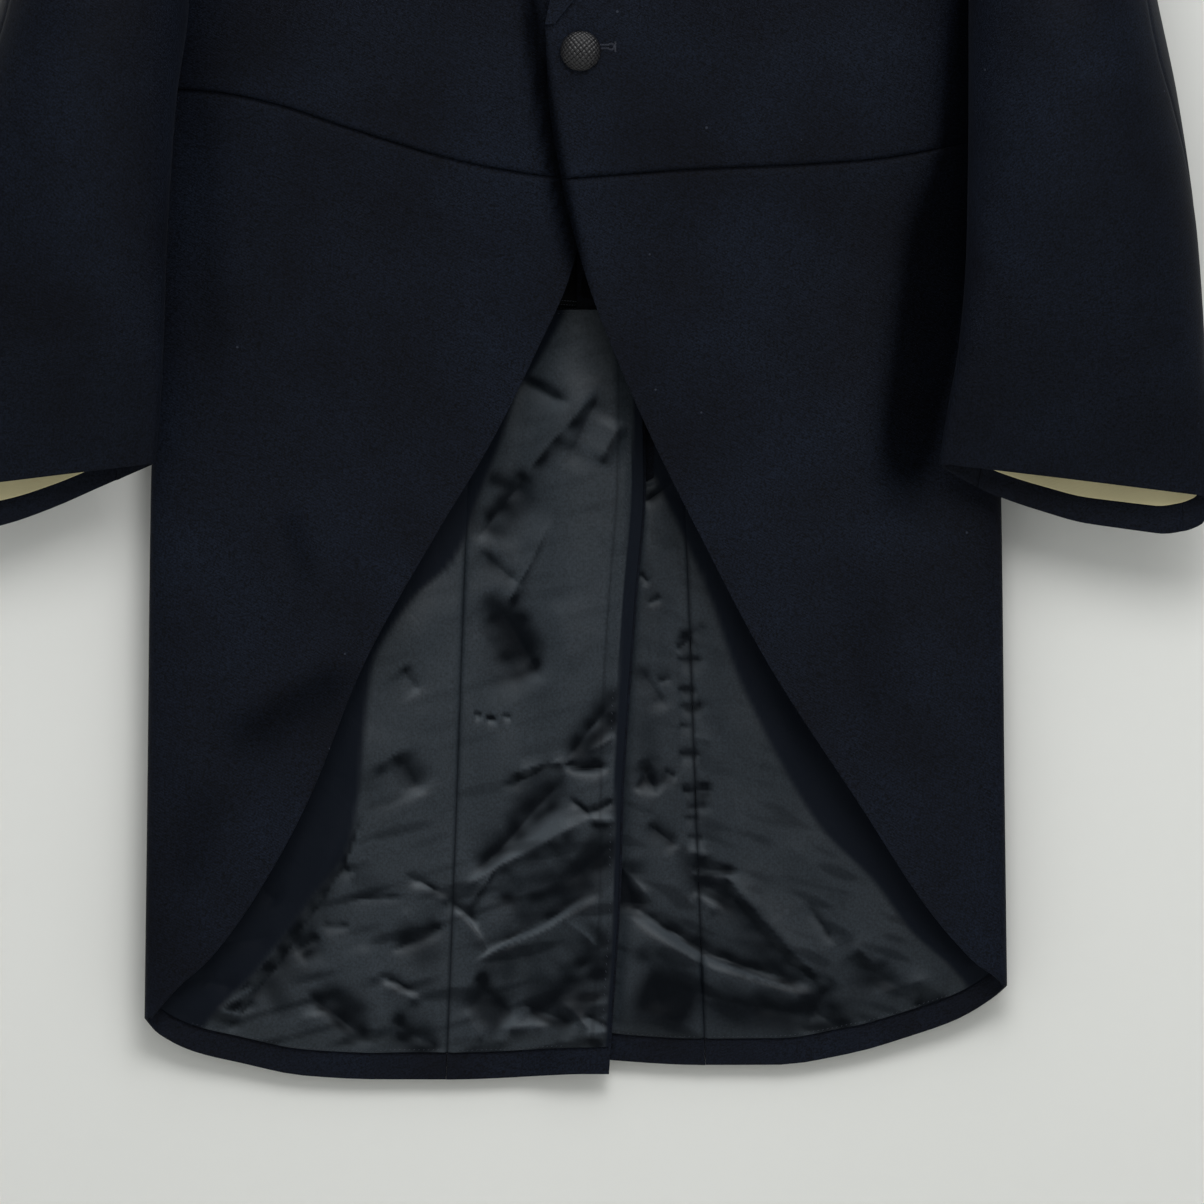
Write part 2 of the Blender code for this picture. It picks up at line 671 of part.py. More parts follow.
def collar():
    """Stand and fall in one folded strip, from one gorge round the back of the neck to the other."""
    rows = []
    for whole in spread(COLLAR["stations"]):
        place = 2 * whole - 1
        side = LEFT if place > 0 else RIGHT
        share = abs(place)
        if share <= 0.5:
            x, below = neckline(share * 2)
            seat = body_point(side, turn_at(x, below, False), below)
        else:
            x = NECK_POINT["x"] + (GORGE["x"] - NECK_POINT["x"]) * (share - 0.5) * 2
            below = NECK_POINT["below"] + (GORGE["below"] - NECK_POINT["below"]) * (share - 0.5) * 2
            seat = body_point(side, turn_at(x, below, True), below)
        away = Vector((seat.x, seat.y, 0)).normalized()
        falling = ease((share - COLLAR["falls_from"]) / (1 - COLLAR["falls_from"]))
        stand = COLLAR["stand"] + (COLLAR["front_stand"] - COLLAR["stand"]) * falling
        foot = seat + Vector((0, 0, 3 * SEAM)) - away * WOOL
        inner = foot + Vector((0, 0, stand)) + away * COLLAR["lean"]
        outer = inner + away * COLLAR["fold"]
        edge_x = along(COLLAR_EDGE, "share", "x", share)
        edge_below = along(COLLAR_EDGE, "share", "below", share)
        edge_turn = turn_at(edge_x, edge_below, share > 0.5)
        edge = body_point(side, edge_turn, edge_below)
        edge += body_normal(side, edge_turn, edge_below) * (COLLAR["thick"] + COLLAR["edge_clear"])
        pull = outer.lerp(edge, 0.5) + (away + Vector((0, 0, 1))) * COLLAR["bulge"]
        fall = [outer * (1 - t) ** 2 + pull * 2 * t * (1 - t) + edge * t * t for t in spread(4)[1:]]
        crest = (inner + outer) / 2 + Vector((0, 0, COLLAR["fold"] * COLLAR["crest"]))
        rows.append([foot, foot.lerp(inner, 0.5), inner, crest, outer, *fall])
    cloth("collar", [rows], wool(), COLLAR["thick"])


def sleeve_point(side, step, angle, narrower=0.0, flatter=0.0):
    """A point of a sleeve: step 0 is the armhole, each whole step a row of the table. Angle 0 is outside,
    and a quarter turn is at the back."""
    row = {column: along(SLEEVE, "step", column, max(step, 1)) for column in SLEEVE[0] if column != "step"}
    inner = Vector((side * row[f"{side_name(side)}_in"], row["y"], -HOOK_TO_NAPE - row["in_below"]))
    outer = Vector((side * row[f"{side_name(side)}_out"], row["y"], -HOOK_TO_NAPE - row["out_below"]))
    reach = (outer - inner) / 2
    flatness = max(1 - row["half_depth"] / reach.length, 0)
    eased = angle - TIP_CROWD * flatness * math.sin(2 * angle) / 2
    oval = (inner + outer) / 2 + reach.normalized() * (reach.length - narrower) * math.cos(eased)
    oval.y += (row["half_depth"] - flatter) * math.sin(eased)
    droop = along(CUFF_DROOP, "share", side_name(side), (1 + math.cos(eased)) / 2)
    oval.z -= row["tilt"] * droop * ease((math.sin(eased) / DROOP_FOLD + 1) / 2)
    oval.x += side * row["swell"] * math.sin(eased) ** 2
    if step >= 1:
        return oval
    front = math.sin(angle) < 0
    x, below = armhole((1 - math.cos(angle)) / 2, front)
    hole = body_point(side, turn_at(x, below, front), below)
    hole.x += side * SLEEVE_CLEAR
    hole.z += SLEEVE_CLEAR * (1 - math.cos(angle)) / 2
    outwards, downwards = 1 - (1 - step) ** 2, step ** 2
    return Vector((hole.x + (oval.x - hole.x) * outwards, hole.y + (oval.y - hole.y) * step,
                   hole.z + (oval.z - hole.z) * downwards))


def sleeve_directions(side, step, angle):
    """The sleeve's surface at a point: how it moves for a radian round it, and which way it runs down."""
    aside, apart = 0.01, 0.05
    turning = sleeve_point(side, step, angle + aside) - sleeve_point(side, step, angle - aside)
    turning /= 2 * aside
    low, high = max(step - apart, 0), min(step + apart, SLEEVE[-1]["step"])
    down = sleeve_point(side, high, angle) - sleeve_point(side, low, angle)
    return turning, down.normalized()


def sleeve_normal(side, step, angle):
    turning, down = sleeve_directions(side, step, angle)
    return (down.cross(turning) * side).normalized()


def hindarm(step):
    share = ease((step - HINDARM_SEAM["from_step"]) / (HINDARM_SEAM["to_step"] - HINDARM_SEAM["from_step"]))
    return HINDARM_SEAM["high"] + (HINDARM_SEAM["low"] - HINDARM_SEAM["high"]) * share


def sleeve_inset(side, step, angle, distance):
    """The angle that lies a small distance further round the sleeve, square to its length."""
    turning, down = sleeve_directions(side, step, angle)
    return angle + distance / turning.cross(down).length


def sleeve_columns():
    """Angles round a sleeve that meet the rows of the panels at the armhole, from the shoulder's back on."""
    shares = [SEAM_SHARE * v / BACK_SEAM_ROW for v in ARMHOLE_ROWS_BACK]
    low = side_share()
    shares += [SEAM_SHARE + (low - SEAM_SHARE) * u for u in SIDEBODY_COLUMNS[1:]]
    shares += [low + (1 - low) * u for u in WRAP_COLUMNS[1:]]
    angles = [math.acos(1 - 2 * share) for share in shares]
    angles += [2 * math.pi - math.acos(1 - 2 * v / UNDERARM_ROW) for v in ARMHOLE_ROWS_FRONT[-2::-1]]
    return angles


def sleeve_spans():
    """Angles at the armhole of the two pieces of a sleeve: first seam, columns between, last seam."""
    columns = sleeve_columns()
    whole = 2 * math.pi
    hind, fore = whole + HINDARM_SEAM["high"], FOREARM_SEAM + whole
    columns += [angle + whole for angle in columns[1:]]
    spans = {}
    for piece, first, last in (("topsleeve", FOREARM_SEAM, hind), ("undersleeve", hind, fore)):
        inside = [angle for angle in columns if first + 2 * SEAM_CROWD < angle < last - 2 * SEAM_CROWD]
        spans[piece] = [first, first + SEAM_CROWD, *inside, last - SEAM_CROWD, last]
    return spans


def sleeve_angle(step, angle):
    """Where a column that starts at this angle has got to: columns shift round with the hindarm seam."""
    moved = hindarm(step) - HINDARM_SEAM["high"]
    return angle + moved * ease(1 - abs(angle - 2 * math.pi - HINDARM_SEAM["high"]) / HINDARM_SEAM["reach"])


def sleeve(side):
    for piece, columns in sleeve_spans().items():
        rows = []
        for step in SLEEVE_ROWS:
            near = ease(1 - step / SLEEVE_SEAM["until_step"])
            gap = SLEEVE_SEAM["gap"] + (SLEEVE_SEAM["at_armhole"] - SLEEVE_SEAM["gap"]) * near
            angles = [sleeve_angle(step, angle) for angle in columns]
            angles[0] = sleeve_inset(side, step, angles[0], gap / 2)
            angles[-1] = sleeve_inset(side, step, angles[-1], -gap / 2)
            row = [sleeve_point(side, step, angle) for angle in angles]
            rows.append(row[::-1] if side == LEFT else row)
        cloth(f"{piece}_{side_name(side)}", [rows], wool(), WOOL)


def cuff_lining(side):
    last = SLEEVE[-1]["step"]
    edge = last - CUFF["turn_up"] / CUFF["step_length"]
    top = last - CUFF["lining_height"] / CUFF["step_length"]
    spans = sleeve_spans()
    columns = spans["topsleeve"][:-1] + spans["undersleeve"][:-1]
    closest = SEAM_CROWD * 1.5
    columns = [angle for angle, following in zip(columns, columns[1:]) if following - angle > closest]
    rows = []
    for step in (top, *[step for step in SLEEVE_ROWS if top < step < edge], edge):
        angles = [sleeve_angle(step, angle) for angle in columns]
        narrower, flatter = CUFF["lining_narrower"], CUFF["lining_flatter"]
        row = [sleeve_point(side, step, angle, narrower, flatter) for angle in angles]
        rows.append(row[::-1] if side == LEFT else row)
    made_of = material("ivory_sleeve_lining", "ivory", 0.45)
    cloth(f"sleeve_lining_{side_name(side)}", [rows], made_of, LINING, closed=True)


def lining_grid(side, top, bottom, start, end, rows, columns):
    """A lining panel, just inside the outer cloth."""
    grid = coons(top, bottom, start, end, rows, columns)
    return body_grid(side, grid, -(WOOL + LINING_GAP))


def back_lining(side):
    """Lining of the back skirt, from the vent to the back seam, ending above the hem."""
    first = LINING_EDGE["top"]

    def edge_x(below):
        return LINING_EDGE["vent"] - vent_lap(below) if side == RIGHT else LINING_EDGE["under_lap"]

    def point(x, below):
        return turn_at(x, below, False), below

    def seam_x(below):
        return along(BACK_SEAM, "below", "x", below) - SEAM / 2

    def start(v):
        below = first + (hem_at(side, 0) - LINING_EDGE["hem"] - first) * v
        return point(edge_x(below), below)

    def end(v):
        below = first + (hem_at(side, BACK_SEAM[-1]["x"]) - LINING_EDGE["hem"] - first) * v
        return point(seam_x(below), below)

    def top(u):
        return point(edge_x(first) * (1 - u) + seam_x(first) * u, first)

    def bottom(u):
        x = edge_x(VENT["bottom"]) * (1 - u) + seam_x(VENT["bottom"]) * u
        return point(x, hem_at(side, max(x, 0)) - LINING_EDGE["hem"])

    grid = lining_grid(side, top, bottom, start, end, LINING_ROWS, spread(6))
    cloth(f"back_lining_{side_name(side)}", [grid], satin(), LINING)


def skirt_lining(side):
    """Lining of the skirt's back layer, from the back seam round to the side fold."""
    last = LINING_EDGE["last_turn"]

    def seam_turn(below):
        return turn_at(along(BACK_SEAM, "below", "x", below) + SEAM / 2, below, False)

    def bottom_below(turn):
        x = along(BODY, "below", "half_width", LINING_EDGE["hem_level"]) * math.sin(math.pi * turn)
        return hem_at(side, x) - LINING_EDGE["hem"]

    def start(v):
        below = LINING_EDGE["top"] + (bottom_below(LINING_EDGE["seam_turn"]) - LINING_EDGE["top"]) * v
        return seam_turn(below), below

    def end(v):
        return last, LINING_EDGE["top"] + (bottom_below(last) - LINING_EDGE["top"]) * v

    def top(u):
        return seam_turn(LINING_EDGE["top"]) * (1 - u) + last * u, LINING_EDGE["top"]

    def bottom(u):
        turn = seam_turn(bottom_below(LINING_EDGE["seam_turn"])) * (1 - u) + last * u
        return turn, bottom_below(turn)

    grid = lining_grid(side, top, bottom, start, end, LINING_ROWS, spread(9))
    cloth(f"skirt_lining_{side_name(side)}", [grid], satin(), LINING)


def body_lining(side):
    """Lining of the back above the skirt, from the neck to the skirt lining's top edge."""
    last = BODY_LINING["last_turn"]
    low = LINING_EDGE["top"] - SEAM
    centre, outside = BODY_LINING["top_centre"], BODY_LINING["top_side"]
    narrow = BODY_LINING["top_share"]

    def top(u):
        return last * u * narrow, centre + (outside - centre) * u

    def bottom(u):
        return last * u, low

    def start(v):
        return nudged(side, 0, BODY_LINING["centre_seam_at"], SEAM / 2), centre + (low - centre) * v

    def end(v):
        wider = ease(v / BODY_LINING["full_from"])
        return last * (narrow + (1 - narrow) * wider), outside + (low - outside) * v

    grid = lining_grid(side, top, bottom, start, end, spread(10), spread(6))
    made_of = material("body_lining", "body_lining", 0.5)
    cloth(f"body_lining_{side_name(side)}", [grid], made_of, LINING)


def satin():
    return material("charcoal_satin", "satin", 0.35)


def button(name, diameter, height, steps, place, normal):
    """A domed button covered in braid: a profile turned about its own axis."""
    radius = diameter / 2
    rim = height * BUTTON_FORM["rim_share"]
    angles = np.radians(BUTTON_FORM["dome_angles"])
    profile = [(0, height)]
    profile += [(radius * math.sin(a), rim + (height - rim) * math.cos(a)) for a in angles]
    profile += [(radius * BUTTON_FORM["underside_share"], 0), (0, 0)]
    mesh = bpy.data.meshes.new(name)
    edges = [(i, i + 1) for i in range(len(profile) - 1)]
    mesh.from_pydata([(r * MM, 0, z * MM) for r, z in profile], edges, [])
    obj = add_object(name, mesh, material("braided_silk", "braid", 0.55))
    screw = obj.modifiers.new("Turned", "SCREW")
    screw.steps = screw.render_steps = steps
    screw.use_merge_vertices = True
    screw.merge_threshold = 1e-5
    screw.use_normal_flip = False
    obj.location = (place + normal * SEAM) * MM
    obj.rotation_euler = normal.to_track_quat("Z", "Y").to_euler()


def buttons():
    x, below = FRONT_BUTTON["x"], FRONT_BUTTON["below"]
    turn = turn_at(x, below, True)
    button("front_button", FRONT_BUTTON["diameter"], FRONT_BUTTON["height"],
           FRONT_BUTTON["steps"], body_point(LEFT, turn, below), body_normal(LEFT, turn, below))
    for side in (LEFT, RIGHT):
        for i in range(CUFF_BUTTON["count"]):
            above_edge = CUFF_BUTTON["first_above_edge"] + CUFF_BUTTON["spacing"] * i
            step = SLEEVE[-1]["step"] - above_edge / CUFF["step_length"]
            normal = sleeve_normal(side, step, CUFF_BUTTON["angle"])
            button(f"cuff_button_{side_name(side)}_{i + 1}", CUFF_BUTTON["diameter"],
                   CUFF_BUTTON["height"], CUFF_BUTTON["steps"],
                   sleeve_point(side, step, CUFF_BUTTON["angle"]), normal)


def hanger():
    """Contoured wooden hanger: an oval section that follows the shoulders and thickens towards its ends."""
    stations, sides = HANGER["stations"], HANGER["sides"]
    mesh = bpy.data.meshes.new("hanger")
    bm = bmesh.new()
    rings = []
    for i in range(stations + 1):
        x = HANGER["half_span"] * (2 * i / stations - 1)
        share = abs(x) / HANGER["half_span"]
        neck = NECK_POINT["x"]
        top = shoulder_line(x) + WOOL + SEAM
        if abs(x) < neck:
            at_neck = shoulder_line(neck) + WOOL + SEAM
            top = HANGER["top_below"] + (at_neck - HANGER["top_below"]) * (x / neck) ** 2
        thicker = HANGER["half_thick_end"] - HANGER["half_thick_mid"]
        thick = HANGER["half_thick_mid"] + thicker * share
        height = HANGER["height_mid"] + (HANGER["height_end"] - HANGER["height_mid"]) * share
        past = max((share - HANGER["round_from"]) / HANGER["round_over"], 0)
        end_round = math.sqrt(max(1 - past ** 2, 0))
        ring = []
        for k in range(sides):
            angle = 2 * math.pi * k / sides
            y = thick * math.sin(angle) * end_round
            z = -HOOK_TO_NAPE - top - height / 2 + height / 2 * math.cos(angle) * end_round
            ring.append(bm.verts.new(Vector((x, y + middle(0), z)) * MM))
        rings.append(ring)
    for a, b in zip(rings, rings[1:]):
        for k in range(sides):
            bm.faces.new((a[k], b[k], b[(k + 1) % sides], a[(k + 1) % sides]))
    bm.faces.new(rings[0])
    bm.faces.new(rings[-1][::-1])
    bmesh.ops.recalc_face_normals(bm, faces=bm.faces)
    bm.to_mesh(mesh)
    bm.free()
    add_object("hanger", mesh, material("varnished_wood", "wood", 0.4))


def hook():
    """Steel wire: a stem out of the hanger, a bend and a round hook whose inner top is the origin."""
    radius = HOOK["inner_radius"] + HOOK["wire"] / 2
    centre = -HOOK["inner_radius"]
    angles = np.radians(np.linspace(HOOK["bend_angle"], HOOK["tip_angle"], HOOK["stations"]))
    path = [(radius * math.cos(a), centre + radius * math.sin(a)) for a in angles]
    stem_top, stem_foot = HOOK["stem_top"], -HOOK_TO_NAPE - HANGER["top_below"] + SEAM
    bend = [(0, stem_foot), (0, (stem_foot + stem_top) / 2), (0, stem_top)]
    bend += [(x, stem_top + rise) for x, rise in HOOK["bend"]]
    curve = bpy.data.curves.new("hook", "CURVE")
    curve.dimensions = "3D"
    curve.bevel_depth = HOOK["wire"] / 2 * MM
    curve.bevel_resolution = 2
    curve.use_fill_caps = True
    spline = curve.splines.new("POLY")
    spline.points.add(len(bend + path) - 1)
    for point, (x, z) in zip(spline.points, bend + path):
        point.co = (x * MM, middle(0) * MM, z * MM, 1)
    curve.materials.append(material("plated_steel", "steel", 0.25, 1.0))
    collection.objects.link(bpy.data.objects.new("hook", curve))


for coat_side in (LEFT, RIGHT):
    forepart(coat_side)
    sidebody(coat_side)
    back(coat_side)
    skirt(coat_side)
    lapel(coat_side)
    sleeve(coat_side)
    cuff_lining(coat_side)
    back_lining(coat_side)
    skirt_lining(coat_side)
    body_lining(coat_side)
collar()
buttons()
hanger()
hook()
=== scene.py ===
import math

import bmesh
import bpy
import numpy as np
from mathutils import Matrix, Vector
from mathutils.bvhtree import BVHTree


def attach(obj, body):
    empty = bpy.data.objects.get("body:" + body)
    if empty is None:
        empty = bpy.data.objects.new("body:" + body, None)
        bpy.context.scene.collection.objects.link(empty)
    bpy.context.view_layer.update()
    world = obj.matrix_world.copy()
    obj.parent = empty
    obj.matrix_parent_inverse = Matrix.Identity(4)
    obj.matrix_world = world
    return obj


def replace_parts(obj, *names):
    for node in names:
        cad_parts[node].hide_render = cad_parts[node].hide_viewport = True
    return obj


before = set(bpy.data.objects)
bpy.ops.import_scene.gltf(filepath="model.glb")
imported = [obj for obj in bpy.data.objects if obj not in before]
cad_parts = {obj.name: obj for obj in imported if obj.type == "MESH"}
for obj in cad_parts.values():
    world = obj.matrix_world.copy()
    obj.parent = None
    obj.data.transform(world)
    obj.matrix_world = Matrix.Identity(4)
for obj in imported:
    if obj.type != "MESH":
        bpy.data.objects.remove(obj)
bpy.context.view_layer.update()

# Sizes are millimetres. "below" is a height measured down from the nape, x runs to the wearer's left, and the
# front faces -Y, in the same frame as the solids.
mm = 0.001
hookToNape = 95.0
wool = 1.6
lining = 1.0
seam = 0.3
hairGap = 0.04  # sewn edges all but touch in the looks
weldReach = 2e-6  # metres: points closer than this are one
backPlane = 50.0
left, right = 1, -1
sideName = {left: "left", right: "right"}
print("morning coat: frame loaded")


def rowsOf(columns, *rows):  # a table of rows with named columns
    return [dict(zip(columns.split(), row)) for row in rows]


def curveThrough(rows, key, column):  # a smooth curve through one column, with no overshoot
    keys = np.array([row[key] for row in rows], float)
    values = np.array([row[column] for row in rows], float)
    slopes = np.diff(values) / np.diff(keys)
    before, after = slopes[:-1], slopes[1:]
    same = before * after > 0
    bends = np.where(same, 2 * before * after / np.where(same, before + after, 1), 0)
    tangents = np.concatenate(([slopes[0]], bends, [slopes[-1]]))

    def at(value):
        value = np.clip(value, keys[0], keys[-1])
        i = np.clip(np.searchsorted(keys, value) - 1, 0, len(keys) - 2)
        span = keys[i + 1] - keys[i]
        u = (value - keys[i]) / span
        blend = u * u * (3 - 2 * u)
        start = (u - 2 * u * u + u ** 3) * span * tangents[i]
        end = (u ** 3 - u * u) * span * tangents[i + 1]
        return values[i] * (1 - blend) + values[i + 1] * blend + start + end

    return at


def ease(value):
    value = np.clip(value, 0.0, 1.0)
    return value * value * (3 - 2 * value)


def bell(distance, width):
    return np.exp(-(distance / width) ** 2)


# the body of the coat, one flattened ring at each height
bodyRings = rowsOf("below halfWidth halfDepth squareness",
                   (-40, 262, 50, 2.5), (120, 252, 50, 2.5), (245, 241, 48, 2.5), (340, 231, 42, 2.6),
                   (460, 227, 33, 2.8), (560, 230, 25, 3.0), (680, 234, 19, 3.0), (850, 236, 17, 3.0),
                   (1010, 238, 18, 3.0))
bodyWidth = curveThrough(bodyRings, "below", "halfWidth")
bodyDepth = curveThrough(bodyRings, "below", "halfDepth")
bodySquare = curveThrough(bodyRings, "below", "squareness")
shoulder = {"neckX": 75, "neckBelow": -15, "pointX": 225, "pointBelow": 52, "round": 55}
armholeCut = {"underX": 241, "underBelow": 245, "front": 48, "back": 36, "topPower": 1.5, "underPower": 0.6}
frontEdgeRows = rowsOf("below left right",
                       (420, -17, -17), (460, -15, -15), (505, -8, -9), (557, 5, 3), (600, 21, 22),
                       (650, 43, 47), (700, 68, 77), (770, 105, 116), (850, 157, 149), (905, 193, 180),
                       (935, 219, 203), (948, 235, 218), (966, 237, 234))
hemRows = rowsOf("x left right",
                 (0, 988, 997), (70, 992, 1000), (110, 992, 1000), (150, 986, 998), (185, 976, 991),
                 (210, 967, 985), (230, 955, 975), (238, 948, 966))
waistRows = rowsOf("x left right",
                   (-20, 506, 507), (20, 503, 503), (60, 500, 496), (125, 497, 477), (165, 494, 464),
                   (200, 488, 457), (228, 482, 455))
backSeamRows = rowsOf("below x",
                      (190, 200.4), (235, 168), (300, 118), (380, 76), (474, 51), (560, 54), (680, 60),
                      (850, 66), (1010, 72))
frontEdgeX = {side: curveThrough(frontEdgeRows, "below", sideName[side]) for side in (left, right)}
hemAt = {side: curveThrough(hemRows, "x", sideName[side]) for side in (left, right)}
waistAt = {side: curveThrough(waistRows, "x", sideName[side]) for side in (left, right)}
backSeamX = curveThrough(backSeamRows, "below", "x")
corner = {left: 948, right: 966}
backWaist = 474
sideSeamTurn = 0.42
vent = {"top": 518, "bottom": 990, "step": 5.4, "ramp": 34, "runOut": 25, "stepFrom": 75, "stepOver": 60}
overlap = {"height": 9, "reach": 110, "fadeIn": 200, "fullFrom": 335, "fullTo": 600, "fadeOut": 760}
rollEnd = {"x": -17, "below": 420}


def shoulderLine(x):
    slope = (shoulder["pointBelow"] - shoulder["neckBelow"]) / (shoulder["pointX"] - shoulder["neckX"])
    neck = shoulder["neckX"]
    outside = shoulder["neckBelow"] + (np.abs(x) - neck) * slope
    inside = shoulder["neckBelow"] - (neck ** 2 - x ** 2) / (2 * neck) * slope
    return np.where(np.abs(x) > neck, outside, inside)


def halfDepth(x, below):
    power = bodySquare(below)
    share = np.maximum(1 - np.minimum(np.abs(x) / bodyWidth(below), 1) ** power, 0) ** (1 / power)
    drop = np.clip((below - shoulderLine(x)) / shoulder["round"], 0, 1)
    return bodyDepth(below) * share * np.sqrt(1 - (1 - drop) ** 2)


def middle(below):
    return backPlane - bodyDepth(below)


def bodyPoint(side, turn, below):  # turn is 0 at the centre back, 0.5 at the side and 1 at the centre front
    turn, below = np.broadcast_arrays(np.asarray(turn, float), np.asarray(below, float))
    across = bodyWidth(below) * np.sin(np.pi * turn)
    depth = halfDepth(across, below)
    y = np.where(turn > 0.5, middle(below) - depth, middle(below) + depth)
    if side == left:  # the wearer's left front stands off where it laps over the right one
        rise = ease((below - overlap["fadeIn"]) / (overlap["fullFrom"] - overlap["fadeIn"]))
        fall = ease((overlap["fadeOut"] - below) / (overlap["fadeOut"] - overlap["fullTo"]))
        lift = overlap["height"] * ease((overlap["reach"] - across) / overlap["reach"]) * rise * fall
        y = y - np.where(turn > 0.5, lift, 0)
    else:  # the wearer's right back steps inwards where it lies under the left one
        deep = ease((below - vent["top"] + vent["stepFrom"]) / vent["stepOver"])
        sink = vent["step"] * ease((vent["ramp"] - across) / vent["ramp"]) * deep
        y = y - np.where(turn > 0.5, 0, sink)
    return np.stack([side * across, y, -hookToNape - below], axis=-1)


def unit(vectors):
    return vectors / np.maximum(np.linalg.norm(vectors, axis=-1, keepdims=True), 1e-12)


def bodyNormal(side, turn, below):
    step = 0.002
    roundIt = bodyPoint(side, turn + step, below) - bodyPoint(side, turn - step, below)
    down = bodyPoint(side, turn, below + 0.5) - bodyPoint(side, turn, below - 0.5)
    return unit(np.cross(roundIt, down) * side)


def turnAt(x, below, front):
    turn = np.arcsin(np.clip(x / bodyWidth(below), -1, 1)) / np.pi
    return 1 - turn if front else turn


def nudged(side, turn, below, distance):  # the turn that lies a small distance further round
    step = 0.0005
    reach = bodyPoint(side, turn + step, below) - bodyPoint(side, turn - step, below)
    return turn + distance / (np.linalg.norm(reach, axis=-1) / (2 * step))


def armhole(share, front):
    reach = armholeCut["front" if front else "back"]
    x = shoulder["pointX"] + (armholeCut["underX"] - shoulder["pointX"]) * share
    topPower, underPower = armholeCut["topPower"], armholeCut["underPower"]
    deepest = topPower / (topPower + underPower)
    bow = share ** topPower * (1 - share) ** underPower
    x = x - reach * bow / (deepest ** topPower * (1 - deepest) ** underPower)
    top = shoulder["pointBelow"] + seamDrop(shoulder["pointX"])
    return x, top + (armholeCut["underBelow"] - top) * share


def seamDrop(x):  # how far below the shoulder's top the surface is half a seam away from the middle
    depth = halfDepth(x, shoulderLine(x) + shoulder["round"])
    return shoulder["round"] * (1 - np.sqrt(1 - (seam / 2 / depth) ** 2))


def neckline(share):
    across = np.sin(np.pi / 2 * share)
    drop = seamDrop(shoulder["neckX"]) * ease((share - 0.9) / 0.1)
    return shoulder["neckX"] * across, shoulder["neckBelow"] * across ** 2 + drop


def shoulderSeam(share):
    x = shoulder["neckX"] + (shoulder["pointX"] - shoulder["neckX"]) * share
    return x, shoulderLine(x) + seamDrop(x)


def frontEdge(side, below):  # along the roll line down to the lapel's end, then down the cutaway
    rise = (rollEnd["below"] - below) / (rollEnd["below"] - shoulder["neckBelow"])
    roll = rollEnd["x"] + (shoulder["neckX"] - rollEnd["x"]) * rise
    return np.where(below >= rollEnd["below"], frontEdgeX[side](below), roll)


# from the front the turned wool shows past the lining as a narrow strip along the vent
ventShowsRows = rowsOf("below wool lining",
                       (518, 35, 32), (640, 38, 33), (670, 38.5, 32.5), (736, 33.5, 27.8), (813, 28, 23.9),
                       (840, 26.4, 23.4), (890, 25, 23.2), (1000, 18, 17))
ventWool = curveThrough(ventShowsRows, "below", "wool")
ventLining = curveThrough(ventShowsRows, "below", "lining")


def sideWaist(side):
    return waistAt[side](waistRows[-1]["x"])


def backWaistAt(side, turn):
    seamTurn = turnAt(backSeamX(backWaist), backWaist, False)
    return backWaist + (sideWaist(side) - backWaist) * (turn - seamTurn) / (0.5 - seamTurn)


def sideShareAt():  # the share of the back armhole at which the side seam meets it
    low, high = 0.7, 1.0
    for _ in range(30):
        mid = (low + high) / 2
        if turnAt(*armhole(mid, False), False) < sideSeamTurn:
            low = mid
        else:
            high = mid
    return low


sideShare = sideShareAt()
armholeDrop = armholeCut["underBelow"] - shoulder["pointBelow"]
seamShare = (backSeamRows[0]["below"] - shoulder["pointBelow"]) / armholeDrop


def coons(top, bottom, start, end, rows, columns):  # (turn, below) pairs between four curves
    v, u = np.array(rows)[:, None], np.array(columns)[None, :]

    def pair(curve, share):
        turn, below = curve(share)
        return np.stack(np.broadcast_arrays(turn, below), axis=-1) + np.zeros((*share.shape, 2))

    corners = [pair(curve, np.array([[share]], float)) for curve in (top, bottom) for share in (0, 1)]
    v3, u3 = v[..., None], u[..., None]
    across = (1 - v3) * pair(top, u) + v3 * pair(bottom, u)
    down = (1 - u3) * pair(start, v) + u3 * pair(end, v)
    topLine, bottomLine = [(1 - u3) * corners[i] + u3 * corners[i + 1] for i in (0, 2)]
    grid = across + down - ((1 - v3) * topLine + v3 * bottomLine)
    return grid[..., 0], grid[..., 1]


def spread(count, crowd=1.0):
    return (np.arange(count + 1) / count) ** crowd


# creases: soft ridges and troughs, each from one place to another on the front view
creaseColumns = "x below toX toBelow bow height near far"


def creaseHeight(x, below, creases, crest=1.5):  # a lower crest number makes a sharper line
    total = np.zeros_like(x)
    for row in creases:
        dx, dBelow = row["toX"] - row["x"], row["toBelow"] - row["below"]
        length = math.hypot(dx, dBelow)
        inside = np.clip(((x - row["x"]) * dx + (below - row["below"]) * dBelow) / length ** 2, 0, 1)
        off = ((x - row["x"]) * dBelow - (below - row["below"]) * dx) / length
        off = off - row["bow"] * 4 * inside * (1 - inside)
        taper = ease(inside / 0.3) * ease((1 - inside) / 0.3)
        width = np.where(off > 0, row["near"], row["far"])
        total += row["height"] * taper * np.exp(-np.abs(off / width) ** crest)
    return total


def waves(x, below, size, seed, count=7):  # gentle unevenness: a few crossing waves of about this size
    dice = np.random.default_rng(seed)
    total = np.zeros_like(x)
    for _ in range(count):
        angle, phase, stretch = dice.uniform(0, np.pi), dice.uniform(0, 2 * np.pi), dice.uniform(0.7, 1.5)
        onward = x * math.cos(angle) + below * math.sin(angle)
        total += np.sin(onward * 2 * np.pi / (size * stretch) + phase)
    return total / math.sqrt(count)


# cloth walls
def srgb(code):  # a hex colour as linear light
    channels = [int(code[i:i + 2], 16) / 255 for i in (1, 3, 5)]
    return (*[c / 12.92 if c <= 0.04045 else ((c + 0.055) / 1.055) ** 2.4 for c in channels], 1.0)


made = {}


